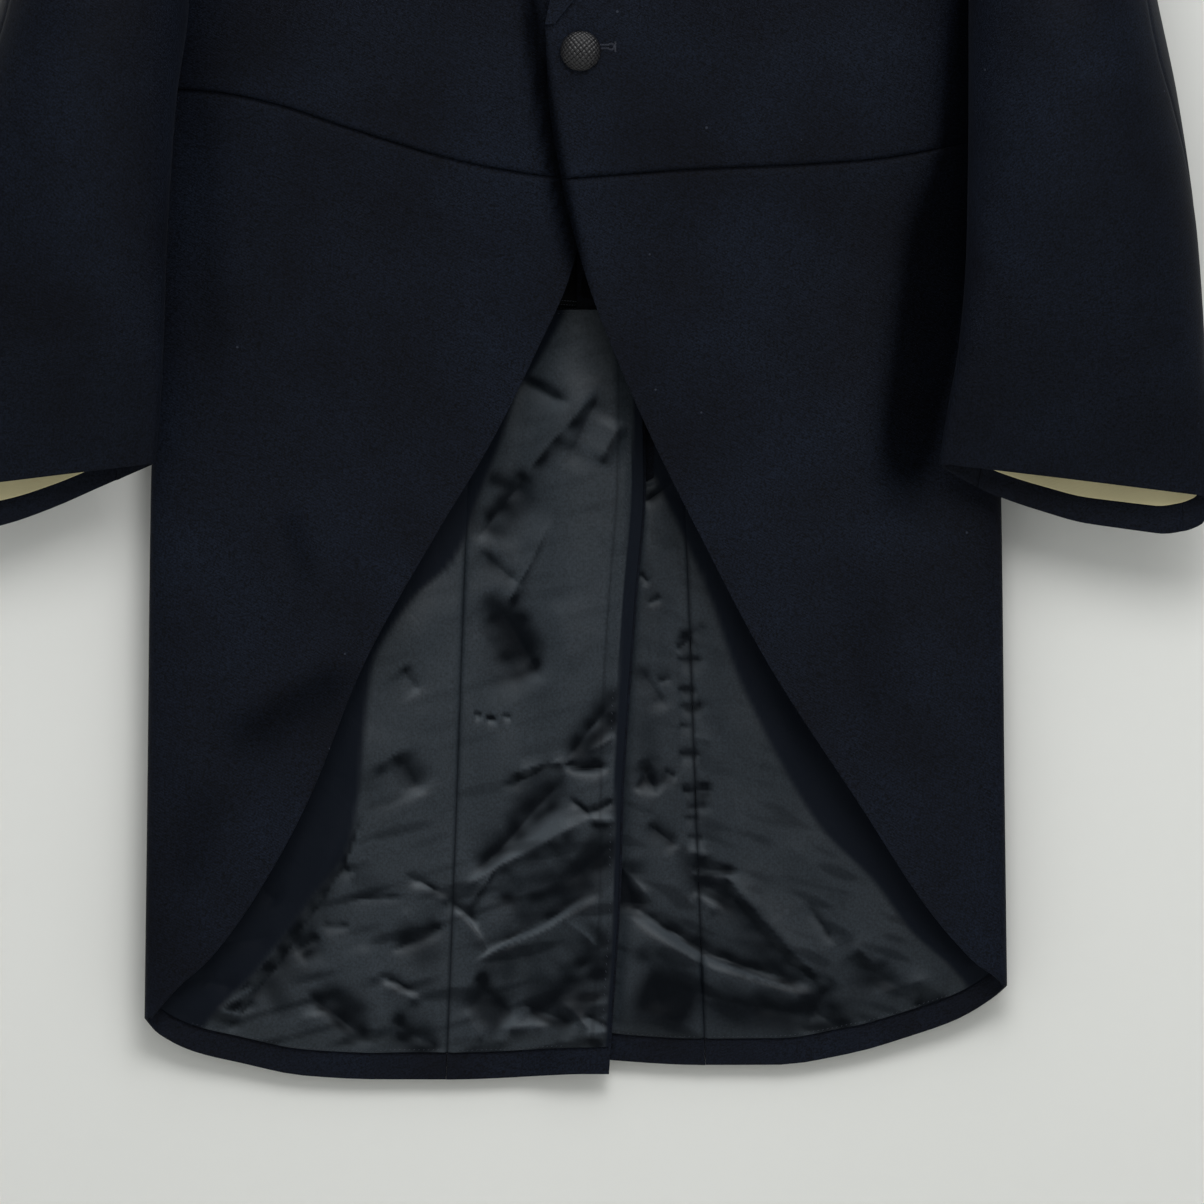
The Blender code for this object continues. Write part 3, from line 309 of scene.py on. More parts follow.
def addPiece(name, mesh, material):
    mesh.materials.clear()
    mesh.materials.append(material)
    mesh.shade_smooth()
    piece = bpy.data.objects.new(name, mesh)
    bpy.context.scene.collection.objects.link(piece)
    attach(piece, "root")
    return piece


def joinGrid(bm, verts, columns, closed=False, over=False):  # a grid's faces, each with the spots it joins
    faces = []
    for i in range(len(verts) // columns - 1):
        for j in range(columns if closed else columns - 1):
            k = (j + 1) % columns
            spots = [i * columns + j, i * columns + k, (i + 1) * columns + k, (i + 1) * columns + j]
            if over:
                spots[1], spots[3] = spots[3], spots[1]
            faces.append((bm.faces.new([verts[s] for s in spots]), spots))
    return faces


def clothWall(kind, side, grids, slot="worsted_wool", thick=wool, closed=False, edgeRound=0.35):
    name = f"{kind}.{sideName.get(side, 'piece')}"
    mesh = bpy.data.meshes.new(name)
    bm = bmesh.new()
    uvLayer = bm.loops.layers.uv.new("cloth")
    for points, uv in grids:
        verts = [bm.verts.new(p) for p in (points * mm).reshape(-1, 3)]
        flat = (uv * mm).reshape(-1, 2)
        for face, spots in joinGrid(bm, verts, points.shape[1], closed):
            for loop, s in zip(face.loops, spots):
                loop[uvLayer].uv = flat[s]
    bmesh.ops.remove_doubles(bm, verts=bm.verts, dist=weldReach)
    bm.to_mesh(mesh)
    bm.free()
    piece = made[kind, side] = addPiece(name, mesh, finishes[slot])
    wall = piece.modifiers.new("wall", "SOLIDIFY")
    wall.thickness = thick * mm
    wall.offset = -1
    wall.use_even_offset = False
    if edgeRound:
        rim = piece.modifiers.new("turned edge", "BEVEL")
        rim.limit_method = "ANGLE"
        rim.angle_limit = math.radians(60)
        rim.width = edgeRound * mm
        rim.segments = 2
    words = "".join("_" + letter.lower() if letter.isupper() else letter for letter in kind)
    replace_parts(piece, f"{words}_{sideName[side]}" if side else words)
    return piece


def turnedOver(points, uv, over):  # a grid's columns the other way round, so that its faces look outwards
    return (points[:, ::-1], uv[:, ::-1]) if over else (points, uv)


def bodyGrid(side, turn, below, out=0.0, lift=None):
    normal = bodyNormal(side, turn, below)
    points = bodyPoint(side, turn, below) + normal * out
    x = bodyWidth(below) * np.sin(np.pi * turn)
    if lift is not None:
        points = points + normal * lift(x, below, turn)[..., None]
    uv = np.stack([np.where(turn < 0.5, x, 472 - x) * side, -below], axis=-1)
    return turnedOver(points, uv, side == right)


def stations(length, cell, near=(0.6, 1.4, 2.6, 4.5)):  # shares along a length, closer together at both ends
    inner = np.linspace(7, length - 7, max(int(round((length - 14) / cell)), 2) + 1)
    marks = np.concatenate(([0], near, inner, length - np.array(near)[::-1], [length]))
    return marks / length


seamPress = {"depth": 0.55, "width": 1.7, "pucker": 0.07, "puckerWidth": 7}


def seamDip(distance):  # cloth is pressed down into a seam
    return -seamPress["depth"] * bell(distance, seamPress["width"])


def seamPucker(x, distance, seed):  # small uneven pulls beside a sewn seam
    dice = np.random.default_rng(seed)
    total = np.zeros_like(x)
    for size in (9, 14, 23, 37):
        pulls = np.sin(x * 2 * np.pi / size + dice.uniform(0, 6.3))
        total += pulls * (0.4 + 0.6 * np.sin(x / 31 + dice.uniform(0, 6.3)))
    return total * seamPress["pucker"] * bell(distance, seamPress["puckerWidth"])


# colours and finishes
def addNode(tree, kind, links=(), **settings):  # one node with its settings, input values and links
    node = tree.nodes.new(kind)
    for name, value in settings.items():
        if name == "values":
            for socket, number in value.items():
                node.inputs[socket].default_value = number
        else:
            setattr(node, name, value)
    for socket, source in dict(links).items():
        tree.links.new(source, node.inputs[socket])
    return node


def partsOf(terms):  # which terms come from other nodes, and which are plain numbers or hex colours
    links, plain = {}, {}
    for name, term in terms.items():
        if isinstance(term, bpy.types.NodeSocket):
            links[name] = term
        else:
            plain[name] = srgb(term) if isinstance(term, str) else term
    return links, plain


def maths(tree, operation, *terms):
    links, plain = partsOf(dict(enumerate(terms)))
    return addNode(tree, "ShaderNodeMath", links, operation=operation, values=plain).outputs[0]


def mixed(tree, share, first, second, blend="MIX"):
    links, plain = partsOf({"Factor": share, "A": first, "B": second})
    mix = addNode(tree, "ShaderNodeMix", links, data_type="RGBA", blend_type=blend, values=plain)
    return mix.outputs["Result"]


def ranged(tree, value, *ends):  # ends are from and to
    values = dict(zip(("From Min", "From Max", "To Min", "To Max"), ends))
    return addNode(tree, "ShaderNodeMapRange", {"Value": value}, values=values).outputs[0]


def noise(tree, place, scale, detail, **more):
    values = {"Scale": scale, "Detail": detail, **more}
    return addNode(tree, "ShaderNodeTexNoise", {"Vector": place}, values=values).outputs["Fac"]


def threadLines(tree, place, pitch, direction="X", **more):  # parallel lines, a pitch in millimetres apart
    values = {"Scale": 2 * math.pi / (20 * pitch * mm), **more}
    return addNode(tree, "ShaderNodeTexWave", {"Vector": place}, bands_direction=direction,
                   values=values).outputs["Fac"]


def marked(tree, label):
    return addNode(tree, "ShaderNodeAttribute", attribute_name=label).outputs["Fac"]


def alongCloth(tree):
    return addNode(tree, "ShaderNodeUVMap", uv_map="cloth").outputs["UV"]


def bumps(tree, shader, *layers):  # each a height, a strength and a depth in millimetres, one over the other
    last = {}
    for height, strength, depth in layers:
        bump = addNode(tree, "ShaderNodeBump", {"Height": height, **last},
                       values={"Strength": strength, "Distance": depth * mm})
        last = {"Normal": bump.outputs["Normal"]}
    tree.links.new(last["Normal"], shader.inputs["Normal"])


def newMaterial(name, **values):  # values are the shader's own, with _ for a space
    material = bpy.data.materials.new(name)
    material.use_nodes = True
    shader = material.node_tree.nodes["Principled BSDF"]
    for socket, value in values.items():
        shader.inputs[socket.replace("_", " ")].default_value = value
    solid = addNode(material.node_tree, "ShaderNodeTexCoord").outputs["Object"]
    return material, material.node_tree, shader, solid


def mottled(name, first, second, scale, detail, stretch=None, more=(), **values):
    # a plain finish of two colours in soft clouds
    material, tree, shader, solid = newMaterial(name, **values)
    if stretch:
        longer = addNode(tree, "ShaderNodeMapping", {"Vector": solid}, values={"Scale": stretch})
        solid = longer.outputs["Vector"]
    cloud = noise(tree, solid, scale, detail, **dict(more))
    shade = mixed(tree, cloud, first, second)
    tree.links.new(shade, shader.inputs["Base Color"])
    return material, tree, shader, cloud, shade


woolFinish = {"colour": "#080b13", "lighter": "#0d121c", "lint": "#2b2f39", "bloom": "#8d93a3",
              "twillPitch": 1.3, "twillSlant": 63, "roughness": 0.62, "sheen": 0.02, "gloss": 0.08,
              "shadow": 0.93}


def worstedWool():
    # midnight worsted twill, pressed: soft, slightly matt, with a faint diagonal line and stray fibres
    material, tree, shader, solid = newMaterial("worsted wool twill", Roughness=woolFinish["roughness"],
                                                Sheen_Roughness=0.45, Sheen_Tint=srgb(woolFinish["bloom"]))
    slant = (0, 0, math.radians(woolFinish["twillSlant"]))
    turned = addNode(tree, "ShaderNodeMapping", {"Vector": alongCloth(tree)}, values={"Rotation": slant})
    # a real twill line is 0.5 mm apart; drawn wider so that it still shows
    twill = threadLines(tree, turned.outputs["Vector"], woolFinish["twillPitch"],
                        **{"Distortion": 0.6, "Detail": 1.0, "Detail Scale": 2.0})
    cloud = noise(tree, solid, 14.0, 4.0, Roughness=0.55)
    nap = noise(tree, solid, 900.0, 3.0, Roughness=0.7)
    worn = ranged(tree, cloud, 0.35, 0.68, 0, 1)
    shade = mixed(tree, worn, woolFinish["colour"], woolFinish["lighter"])
    line = ranged(tree, twill, 0, 1, 0.88, 1.1)
    # the nap stands unevenly, so fibres show lighter and darker
    fibre = ranged(tree, nap, 0.36, 0.64, 0.3, 1.8)
    # painted shade: this mark darkens the colour, the twill, the sheen and the gloss
    shadow = maths(tree, "MULTIPLY_ADD", marked(tree, "paintedShade"), -woolFinish["shadow"], 1.0)
    line = maths(tree, "MULTIPLY", maths(tree, "MULTIPLY", line, fibre), shadow)
    woven = mixed(tree, 1.0, shade, line, "MULTIPLY")
    # lint: a few faint specks about 1 mm long
    specks = addNode(tree, "ShaderNodeTexVoronoi", {"Vector": solid}, feature="F1", values={"Scale": 40.0})
    near = maths(tree, "LESS_THAN", specks.outputs["Distance"], 0.03)
    chosen = addNode(tree, "ShaderNodeSeparateColor", {"Color": specks.outputs["Color"]}).outputs["Red"]
    lint = maths(tree, "MULTIPLY", near, maths(tree, "GREATER_THAN", chosen, 0.5))
    tree.links.new(mixed(tree, lint, woven, woolFinish["lint"]), shader.inputs["Base Color"])
    bumps(tree, shader, (twill, 0.25, 0.12), (nap, 0.35, 0.25))
    for socket, amount in (("Sheen Weight", "sheen"), ("Specular IOR Level", "gloss")):
        tree.links.new(maths(tree, "MULTIPLY", shadow, woolFinish[amount]), shader.inputs[socket])
    return material


satinFinish = {"paintedShade": "#04060a", "paintedHighlight": "#50575d", "facingAndShadow": "#13171e", "threadPitch": 1.2,
               "shadow": 0.92, "light": 0.55, "matt": 0.9}


def charcoalSatin(name, colour, lighter, roughness, gloss):
    # acetate satin lining: smooth floats that shine in soft streaks, with painted shade, black in the
    # creases, and painted highlights
    material, tree, shader, solid = newMaterial(name)
    cloud = noise(tree, solid, 22.0, 5.0, Roughness=0.6)
    crinkle = noise(tree, solid, 60.0, 5.0, Roughness=0.5, Distortion=0.6)
    fleck = noise(tree, solid, 800.0, 2.0)
    grain = ranged(tree, fleck, 0.3, 0.7, 0.72, 1.28)
    woven = mixed(tree, 1.0, mixed(tree, cloud, colour, lighter), grain, "MULTIPLY")
    # the marks that the panels carry: painted shade, painted highlights, and the wool facing with painted
    # shadow
    facingAndShadow = marked(tree, "facingAndShadow")
    shadowed = maths(tree, "MULTIPLY", marked(tree, "paintedShade"), satinFinish["shadow"])
    highlighted = maths(tree, "MULTIPLY", marked(tree, "paintedHighlight"), satinFinish["light"])
    for share, kind in ((highlighted, "paintedHighlight"), (shadowed, "paintedShade"), (facingAndShadow, "facingAndShadow")):
        woven = mixed(tree, share, woven, satinFinish[kind])
    tree.links.new(woven, shader.inputs["Base Color"])
    # no shine where shade is painted or the wool facing lies
    matt = maths(tree, "MAXIMUM", shadowed, facingAndShadow)
    shine = maths(tree, "MULTIPLY_ADD", matt, -satinFinish["matt"] * gloss, gloss)
    tree.links.new(shine, shader.inputs["Specular IOR Level"])
    threads = threadLines(tree, alongCloth(tree), satinFinish["threadPitch"], Distortion=1.5, Detail=2.0)
    bumps(tree, shader, (crinkle, 0.6, 1.2), (threads, 0.12, 0.1))
    tree.links.new(ranged(tree, cloud, 0, 1, roughness - 0.04, roughness + 0.06), shader.inputs["Roughness"])
    return material


def ivoryTwill():  # woven ivory sleeve lining: smooth, slightly yellowed, soft sheen
    material, tree, shader, _, _ = mottled("ivory lining twill", "#b5ab80", "#d6cca2", 30.0, 4.0,
                                           Roughness=0.45)
    bumps(tree, shader, (threadLines(tree, alongCloth(tree), 1.0, "DIAGONAL", Distortion=0.4), 0.3, 0.12))
    return material


def braidedSilk():  # black silk cord woven over the button: deep charcoal with a soft thread sheen
    material, tree, shader, fibres, shade = mottled("braided silk", "#0a0a0d", "#131318", 2500.0, 2.0,
                                                    Roughness=0.42)
    # painted shade: dark in the gaps between the cords and under the dome, a mark that the button carries
    gap = marked(tree, "paintedShade")
    tree.links.new(mixed(tree, gap, shade, "#020203"), shader.inputs["Base Color"])
    tree.links.new(maths(tree, "MULTIPLY_ADD", gap, -0.5, 0.52), shader.inputs["Specular IOR Level"])
    bumps(tree, shader, (fibres, 0.3, 0.06))
    return material


def silkThread():  # waxed buttonhole and tacking thread, a shade bluer than the cloth
    return mottled("silk buttonhole thread", "#141824", "#232938", 1800.0, 2.0, Roughness=0.5)[0]


def varnishedBeech():  # contoured beech, stained and satin varnished: short brown flecks along the arm
    material, tree, shader, grain, _ = mottled("varnished beech", "#6d3f1f", "#b27a45", 1.0, 6.0,
                                               (12, 160, 160), {"Distortion": 0.5}, Roughness=0.35,
                                               Coat_Weight=0.4)
    bumps(tree, shader, (grain, 0.15, 0.2))
    return material


def platedWire():  # drawn steel wire, nickel plated: bright, with faint rub marks
    material, tree, shader, solid = newMaterial("nickel plated wire", Base_Color=srgb("#c9c8c4"),
                                                Metallic=1.0)
    rub = noise(tree, solid, 300.0, 4.0)
    tree.links.new(ranged(tree, rub, 0, 1, 0.16, 0.34), shader.inputs["Roughness"])
    return material


finishes = {
    "worsted_wool": worstedWool(),
    "charcoal_satin": charcoalSatin("charcoal acetate satin", "#21272c", "#2b3239", 0.46, 0.2),
    "body_lining": charcoalSatin("black lining twill", "#050608", "#07080a", 0.75, 0.06),
    "ivory_sleeve_lining": ivoryTwill(),
    "braided_silk": braidedSilk(),
}
thread = silkThread()
print("morning coat: materials made")

# front and back panels
panelUnevenness = {"height": 0.22, "frontSize": 150, "backSize": 170}
diceSeeds = {"forepart": 11, "sidebody": 21, "back": 31, "skirt": 41, "sleeve": 51, "lapel": 61, "lining": 71}
edgeShares = [0.004, 0.012]  # extra columns close to a side seam
nowhere = 99  # a distance too far off for any seam to press or pucker
forepartCut = {
    "cell": 4.8, "edgeRound": 0.4, "underRow": 0.45, "footBelow": 506.0,
    "armholeLength": 200, "sideLength": 250, "width": 245, "wrapColumns": 14,
    "creases": {
        # the faint front dart, and soft drags above the waist seam
        right: rowsOf(creaseColumns, (127, 432, 124, 476, 0, -0.35, 1.4, 1.4),
                      (60, 300, 108, 420, 12, 0.7, 22, 18),
                      (150, 330, 176, 470, -8, -0.5, 16, 20), (20, 452, 78, 470, 3, 0.4, 9, 12)),
        left: rowsOf(creaseColumns, (-14, 458, 6, 457, 0, -0.7, 1.6, 2.6),
                     (48, 300, 96, 430, 10, 0.6, 20, 24),
                     (150, 340, 172, 452, -6, -0.5, 18, 16), (10, 470, 60, 478, 2, 0.35, 8, 10)),
    },
}
backCut = {
    "cell": 5.6, "sideCell": 4.0, "topLength": 190, "length": 810, "width": 120,
    "seamRow": 0.19, "waistRow": 0.474,
    # folds between the shoulder blades and soft flutes down the skirt
    "creases": rowsOf(creaseColumns, (60, 120, 130, 260, 12, 0.9, 22, 26),
                      (30, 300, 40, 470, 5, -0.6, 12, 14),
                      (30, 540, 44, 960, 6, 0.8, 10, 14), (12, 620, 20, 940, -3, -0.5, 8, 10),
                      (120, 60, 150, 170, -8, 0.6, 18, 18)),
}
sidebodyCut = {
    "cell": 6, "length": 260, "width": 160,
    "creases": rowsOf(creaseColumns, (120, 330, 190, 450, 8, 0.7, 16, 20),
                      (100, 400, 150, 470, 5, -0.5, 12, 14)),
}
skirtCut = {
    "cell": 4.4, "behindCell": 8.0, "edgeRound": 0.4, "topBelow": 508.0, "length": 460, "width": 235,
    "behindWidth": 190, "behindCrowd": 1.25,
    "creases": {
        # a dark diagonal drag, a soft upright and slow waves down the skirt
        right: rowsOf(creaseColumns, (195, 815, 112, 768, -6, 1.3, 9, 16),
                      (160, 688, 147, 724, 2, -0.6, 9, 9),
                      (60, 540, 150, 800, 16, 0.7, 26, 30), (196, 540, 204, 880, 6, -0.5, 18, 22),
                      (120, 520, 128, 640, 4, 0.4, 14, 16), (212, 700, 206, 930, 4, 0.5, 12, 10)),
        left: rowsOf(creaseColumns, (40, 520, 70, 575, 3, -0.5, 9, 12), (120, 560, 190, 860, 14, 0.7, 28, 24),
                     (196, 520, 206, 900, -5, -0.5, 20, 16), (90, 520, 110, 680, -6, 0.4, 15, 16)),
    },
    "behindCreases": rowsOf(creaseColumns, (90, 520, 120, 900, 8, 0.9, 20, 26),
                            (160, 500, 150, 930, -6, -0.7, 18, 20),
                            (200, 560, 190, 860, 5, 0.6, 14, 16)),
}


def panelLift(kind, side, frontCreases, backCreases, seams):
    seed = diceSeeds[kind] + side

    def lift(x, below, turn):
        calm = ease(np.abs(turn - 0.5) / 0.035)
        front = waves(x, below, panelUnevenness["frontSize"], seed)
        back = waves(x, below, panelUnevenness["backSize"], seed + 1)
        front = creaseHeight(x, below, frontCreases) + panelUnevenness["height"] * front
        back = creaseHeight(x, below, backCreases) + panelUnevenness["height"] * back
        total = np.where(turn > 0.5, front, back) * calm
        for distance in seams:
            gap = distance(x, below, turn)
            total = total + seamDip(gap) + seamPucker(x + below, gap, seed + 2)
        return total
    return lift


def frontAt(x, below):
    return turnAt(x, below, True), below


def backAt(side, x, below, inset=0.0):
    return nudged(side, turnAt(x, below, False), below, -inset), below


def partWay(first, last, share, whole=1):
    return first + (last - first) * share / whole


def endOf(curve, share):  # the turn and the height at one place of a border
    return [float(part) for part in curve(np.array(share))]


def fromWaist(side, x, below, turn):
    return below - np.where(turn > 0.5, waistAt[side](x), backWaistAt(side, turn))


def forepart(side):
    underRow = forepartCut["underRow"]
    waistSide = sideWaist(side)

    def top(u):
        return frontAt(*shoulderSeam(1 - u))

    def bottom(u):
        x = bodyWidth(waistSide) * (1 - u) + frontEdge(side, forepartCut["footBelow"]) * u
        return frontAt(x, waistAt[side](x) - hairGap / 2)

    sideFoot = waistAt[side](bodyWidth(waistSide)) - hairGap / 2

    def start(v):
        x, below = armhole(np.clip(v / underRow, 0, 1), True)
        low = partWay(armholeCut["underBelow"], sideFoot, v - underRow, 1 - underRow)
        return np.where(v < underRow, turnAt(x, below, True), 0.5), np.where(v < underRow, below, low)

    topEnd, lowEnd = endOf(top, 1.0)[1], endOf(bottom, 1.0)[1]

    def end(v):
        below = partWay(topEnd, lowEnd, v)
        return frontAt(frontEdge(side, below), below)

    sideRows = stations(forepartCut["sideLength"], forepartCut["cell"])
    armholeRows = underRow * stations(forepartCut["armholeLength"], forepartCut["cell"])[:-1]
    rows = np.concatenate((armholeRows, underRow + (1 - underRow) * sideRows))
    columns = np.unique(np.concatenate((stations(forepartCut["width"], forepartCut["cell"]), edgeShares)))
    front = coons(top, bottom, start, end, rows, columns)

    def wrapTop(u):
        x, below = armhole(sideShare * (1 - u) + u, False)
        return turnAt(x, below, False), below

    wrapFoot = nudged(side, sideSeamTurn, waistSide, hairGap / 2)

    def wrapBottom(u):
        turn = partWay(wrapFoot, 0.5, u)
        return turn, backWaistAt(side, turn) - hairGap / 2

    topBelow, footBelow = endOf(wrapTop, 0.0)[1], endOf(wrapBottom, 0.0)[1]

    def wrapStart(w):
        below = partWay(topBelow, footBelow, w)
        return nudged(side, sideSeamTurn, below, hairGap / 2), below

    def wrapEnd(w):
        return start(underRow + w * (1 - underRow))

    wrap = coons(wrapTop, wrapBottom, wrapStart, wrapEnd, sideRows, spread(forepartCut["wrapColumns"]))

    lift = panelLift("forepart", side, forepartCut["creases"][side], [],
                     [lambda *place: -fromWaist(side, *place)])
    grids = [bodyGrid(side, *wrap, lift=lift), bodyGrid(side, *front, lift=lift)]
    clothWall("forepart", side, grids, edgeRound=forepartCut["edgeRound"])


def sidebody(side):
    def top(u):
        x, below = armhole(seamShare + (sideShare - seamShare) * u, False)
        return turnAt(x, below, False), below

    def start(v):
        first = backSeamRows[0]["below"]
        below = first + (backWaist - hairGap / 2 - first) * v
        return backAt(side, backSeamX(below), below, -hairGap / 2)

    firstTurn = endOf(start, 1.0)[0]
    lastTurn = float(nudged(side, sideSeamTurn, backWaist, -hairGap / 2))

    def bottom(u):
        turn = partWay(firstTurn, lastTurn, u)
        return turn, backWaistAt(side, turn) - hairGap / 2

    topBelow, footBelow = endOf(top, 1.0)[1], endOf(bottom, 1.0)[1]

    def end(v):
        below = partWay(topBelow, footBelow, v)
        return nudged(side, sideSeamTurn, below, -hairGap / 2), below

    shares = [stations(sidebodyCut[size], sidebodyCut["cell"]) for size in ("length", "width")]
    grid = coons(top, bottom, start, end, *shares)
    lift = panelLift("sidebody", side, [], sidebodyCut["creases"],
                     [lambda *place: -fromWaist(side, *place), lambda x, below, turn: x - backSeamX(below)])
    clothWall("sidebody", side, [bodyGrid(side, *grid, lift=lift)])


def back(side):
    def edgeX(below):
        runOut = ease((below - vent["top"]) / vent["runOut"])
        return -ventWool(below) * runOut if side == right else 0.0 * below

    def top(u):
        share = u * 3
        neckX, neckBelow = neckline(np.clip(share, 0, 1))
        seamX, seamBelow = shoulderSeam(np.clip((share - 1) / 2, 0, 1))
        onNeck = share <= 1
        return backAt(side, np.where(onNeck, neckX, seamX), np.where(onNeck, neckBelow, seamBelow), 0.0)

    seamRow, waistRow = backCut["seamRow"], backCut["waistRow"]
    meets = backSeamRows[0]["below"]

    def level(v, first, hem):
        high = partWay(first, meets, v, seamRow)
        mid = partWay(meets, backWaist, v - seamRow, waistRow - seamRow)
        low = partWay(backWaist, hem, v - waistRow, 1 - waistRow)
        return np.where(v < seamRow, high, np.where(v < waistRow, mid, low))

    def start(v):
        below = level(v, 0, hemAt[side](0))
        return backAt(side, edgeX(below), below, -hairGap / 2)

    def end(v):
        x, hole = armhole(np.clip(seamShare * v / seamRow, 0, 1), False)
        below = level(v, 0, hemAt[side](backSeamRows[-1]["x"]))
        seamTurn, _ = backAt(side, backSeamX(below), below, hairGap / 2)
        return np.where(v < seamRow, turnAt(x, hole, False), seamTurn), np.where(v < seamRow, hole, below)

    def bottom(u):
        x = edgeX(np.array(float(vent["bottom"]))) * (1 - u) + backSeamRows[-1]["x"] * u
        return backAt(side, x, hemAt[side](np.maximum(x, 0)), 0.0)

    rows = np.concatenate((stations(backCut["topLength"], backCut["cell"])[:-1] * seamRow,
                           seamRow + (1 - seamRow) * stations(backCut["length"], backCut["cell"])))
    grid = coons(top, bottom, start, end, rows, stations(backCut["width"], backCut["sideCell"]))
    lift = panelLift("back", side, [], backCut["creases"],
                     [lambda x, below, turn: np.where(below > meets, backSeamX(below) - x, nowhere),
                      lambda x, below, turn: np.where(below < vent["top"], x, nowhere)])
    clothWall("back", side, [bodyGrid(side, *grid, lift=lift)])


def skirt(side):
    last = corner[side]
    waistSide = sideWaist(side)
    sideWidth = bodyWidth(waistSide)

    def top(u):
        x = sideWidth * (1 - u) + frontEdge(side, skirtCut["topBelow"]) * u
        return frontAt(x, waistAt[side](x) + hairGap / 2)

    sideTop, frontTop = endOf(top, 0.0)[1], endOf(top, 1.0)[1]

    def start(v):
        return 0.5 + 0 * v, partWay(sideTop, last, v)

    def end(v):
        below = partWay(frontTop, last, v)
        return frontAt(frontEdge(side, below), below)

    endTurn = endOf(end, 1.0)[0]

    def bottom(u):
        return partWay(0.5, endTurn, u), last + 0 * u

    rows = stations(skirtCut["length"], skirtCut["cell"])
    columns = np.unique(np.concatenate((stations(skirtCut["width"], skirtCut["cell"]), edgeShares)))
    front = coons(top, bottom, start, end, rows, columns)
    first = backWaist + hairGap / 2
    seamFoot = float(hemAt[side](backSeamRows[-1]["x"]))

    def backStart(v):
        below = partWay(first, seamFoot, v)
        return backAt(side, backSeamX(below), below, -hairGap / 2)

    firstTurn, footTurn = endOf(backStart, 0.0)[0], endOf(backStart, 1.0)[0]

    def backTop(u):
        turn = partWay(firstTurn, 0.5, u)
        return turn, backWaistAt(side, turn) + hairGap / 2

    def backBottom(u):
        turn = partWay(footTurn, 0.5, u)
        return turn, hemAt[side](bodyWidth(last) * np.sin(np.pi * turn))

    behindShares = stations(skirtCut["behindWidth"], skirtCut["behindCell"])
    behindColumns = 1 - (1 - behindShares) ** skirtCut["behindCrowd"]
    behind = coons(backTop, backBottom, backStart, start, rows, behindColumns)

    def fromBackSeam(x, below, turn):
        return np.where(turn < 0.5, x - backSeamX(below), nowhere)

    lift = panelLift("skirt", side, skirtCut["creases"][side], skirtCut["behindCreases"],
                     [lambda *place: fromWaist(side, *place), fromBackSeam])
    grids = [bodyGrid(side, *behind, lift=lift), bodyGrid(side, *front, lift=lift)]
    clothWall("skirt", side, grids, edgeRound=skirtCut["edgeRound"])


for side in (left, right):
    forepart(side)
    sidebody(side)
    back(side)
    skirt(side)
print("morning coat: panels cut")

# sleeves
sleeveColumns = "step inBelow outBelow leftIn leftOut rightIn rightOut halfDepth y tilt swell"
sleeveRows = rowsOf(sleeveColumns,
                    (1, 262, 82, 246, 243, 246, 243, 56, -6, 0, 2),
                    (2, 284, 135, 241, 262, 241, 262, 58, -20, 0, 15),
                    (3, 318, 215, 230, 282, 229, 281, 58, -34, 0, 15),
                    (4, 360, 310, 219, 301, 217, 300, 57, -42, 0, 8),
                    (5, 408, 400, 215, 317, 212, 314, 55, -44, 0, 3),
                    (6, 465, 463, 215, 330, 219, 333, 48, -42, 0, 0),
                    (7, 540, 541, 214, 341, 224, 350, 38, -36, 2, 0),
                    (8, 594, 598, 210, 345, 226, 360, 29, -28, 8, 0),
                    (9, 630, 640, 204, 347, 228, 369, 20, -18, 16, 0),
                    (10, 661, 679, 199, 347, 231, 379, 14, -9, 24, 0))
# how far the back of each cuff hangs below its front, from the inside of the arm (0) to the outside (1)
cuffDroopRows = rowsOf("share left right", (0, 0.05, 0), (0.2, 0.54, 0.37), (0.38, 0.79, 0.72),
                       (0.55, 0.95, 0.96),
                       (0.7, 0.97, 1.06), (0.82, 0.98, 1.1), (0.92, 0.84, 0.98), (1, 0.58, 0.75))
cuffDroop = {side: curveThrough(cuffDroopRows, "share", sideName[side]) for side in (left, right)}
droopFold = 0.35
sleeveCurve = {column: curveThrough(sleeveRows, "step", column) for column in sleeveColumns.split()[1:]}
sleeveCut = {
    "forearmSeam": math.pi - 1.0, "hindHigh": -0.5, "hindLow": 0.85, "hindFrom": 5.5, "hindTo": 8.5,
    "hindReach": 2.3,
    "gap": 0.06, "gapAtArmhole": 0.2, "gapUntil": 3, "clear": 0.7, "tipCrowd": 0.6, "rows": 150, "last": 10.0,
    "cell": {"topsleeve": 5.5, "undersleeve": 7.5}, "width": 230, "rowLength": 4.4, "unevenness": 0.2,
    "turnUp": 12, "liningHeight": 75, "liningNarrower": 4.0, "liningFlatter": 3.2, "stepLength": 36,
    # soft uprights above each cuff, the break at the elbow and slanting drags below the sleeve head
    "creases": {
        left: rowsOf(creaseColumns, (236, 400, 318, 432, 8, -1.1, 9, 13),
                     (236, 372, 300, 392, 6, 0.9, 10, 12),
                     (250, 452, 330, 470, 5, 0.7, 10, 14), (262, 500, 268, 655, 5, 0.8, 9, 12),
                     (292, 560, 300, 668, -4, -0.8, 8, 10), (318, 520, 330, 660, 4, 0.8, 8, 9),
                     (250, 170, 282, 330, 10, 1.2, 12, 16), (238, 300, 262, 380, 4, -0.9, 8, 10)),
        right: rowsOf(creaseColumns, (238, 410, 314, 426, -8, -1.1, 12, 9),
                      (232, 378, 306, 386, 7, 0.9, 10, 12),
                      (262, 440, 338, 480, -6, 0.7, 12, 12), (262, 540, 272, 655, 4, 0.9, 10, 12),
                      (290, 500, 306, 664, 6, -0.8, 9, 10), (322, 470, 348, 664, 6, 1.0, 9, 11),
                      (352, 560, 366, 664, 2, -0.6, 6, 7), (248, 170, 276, 330, 9, 1.2, 12, 16)),
    },
}


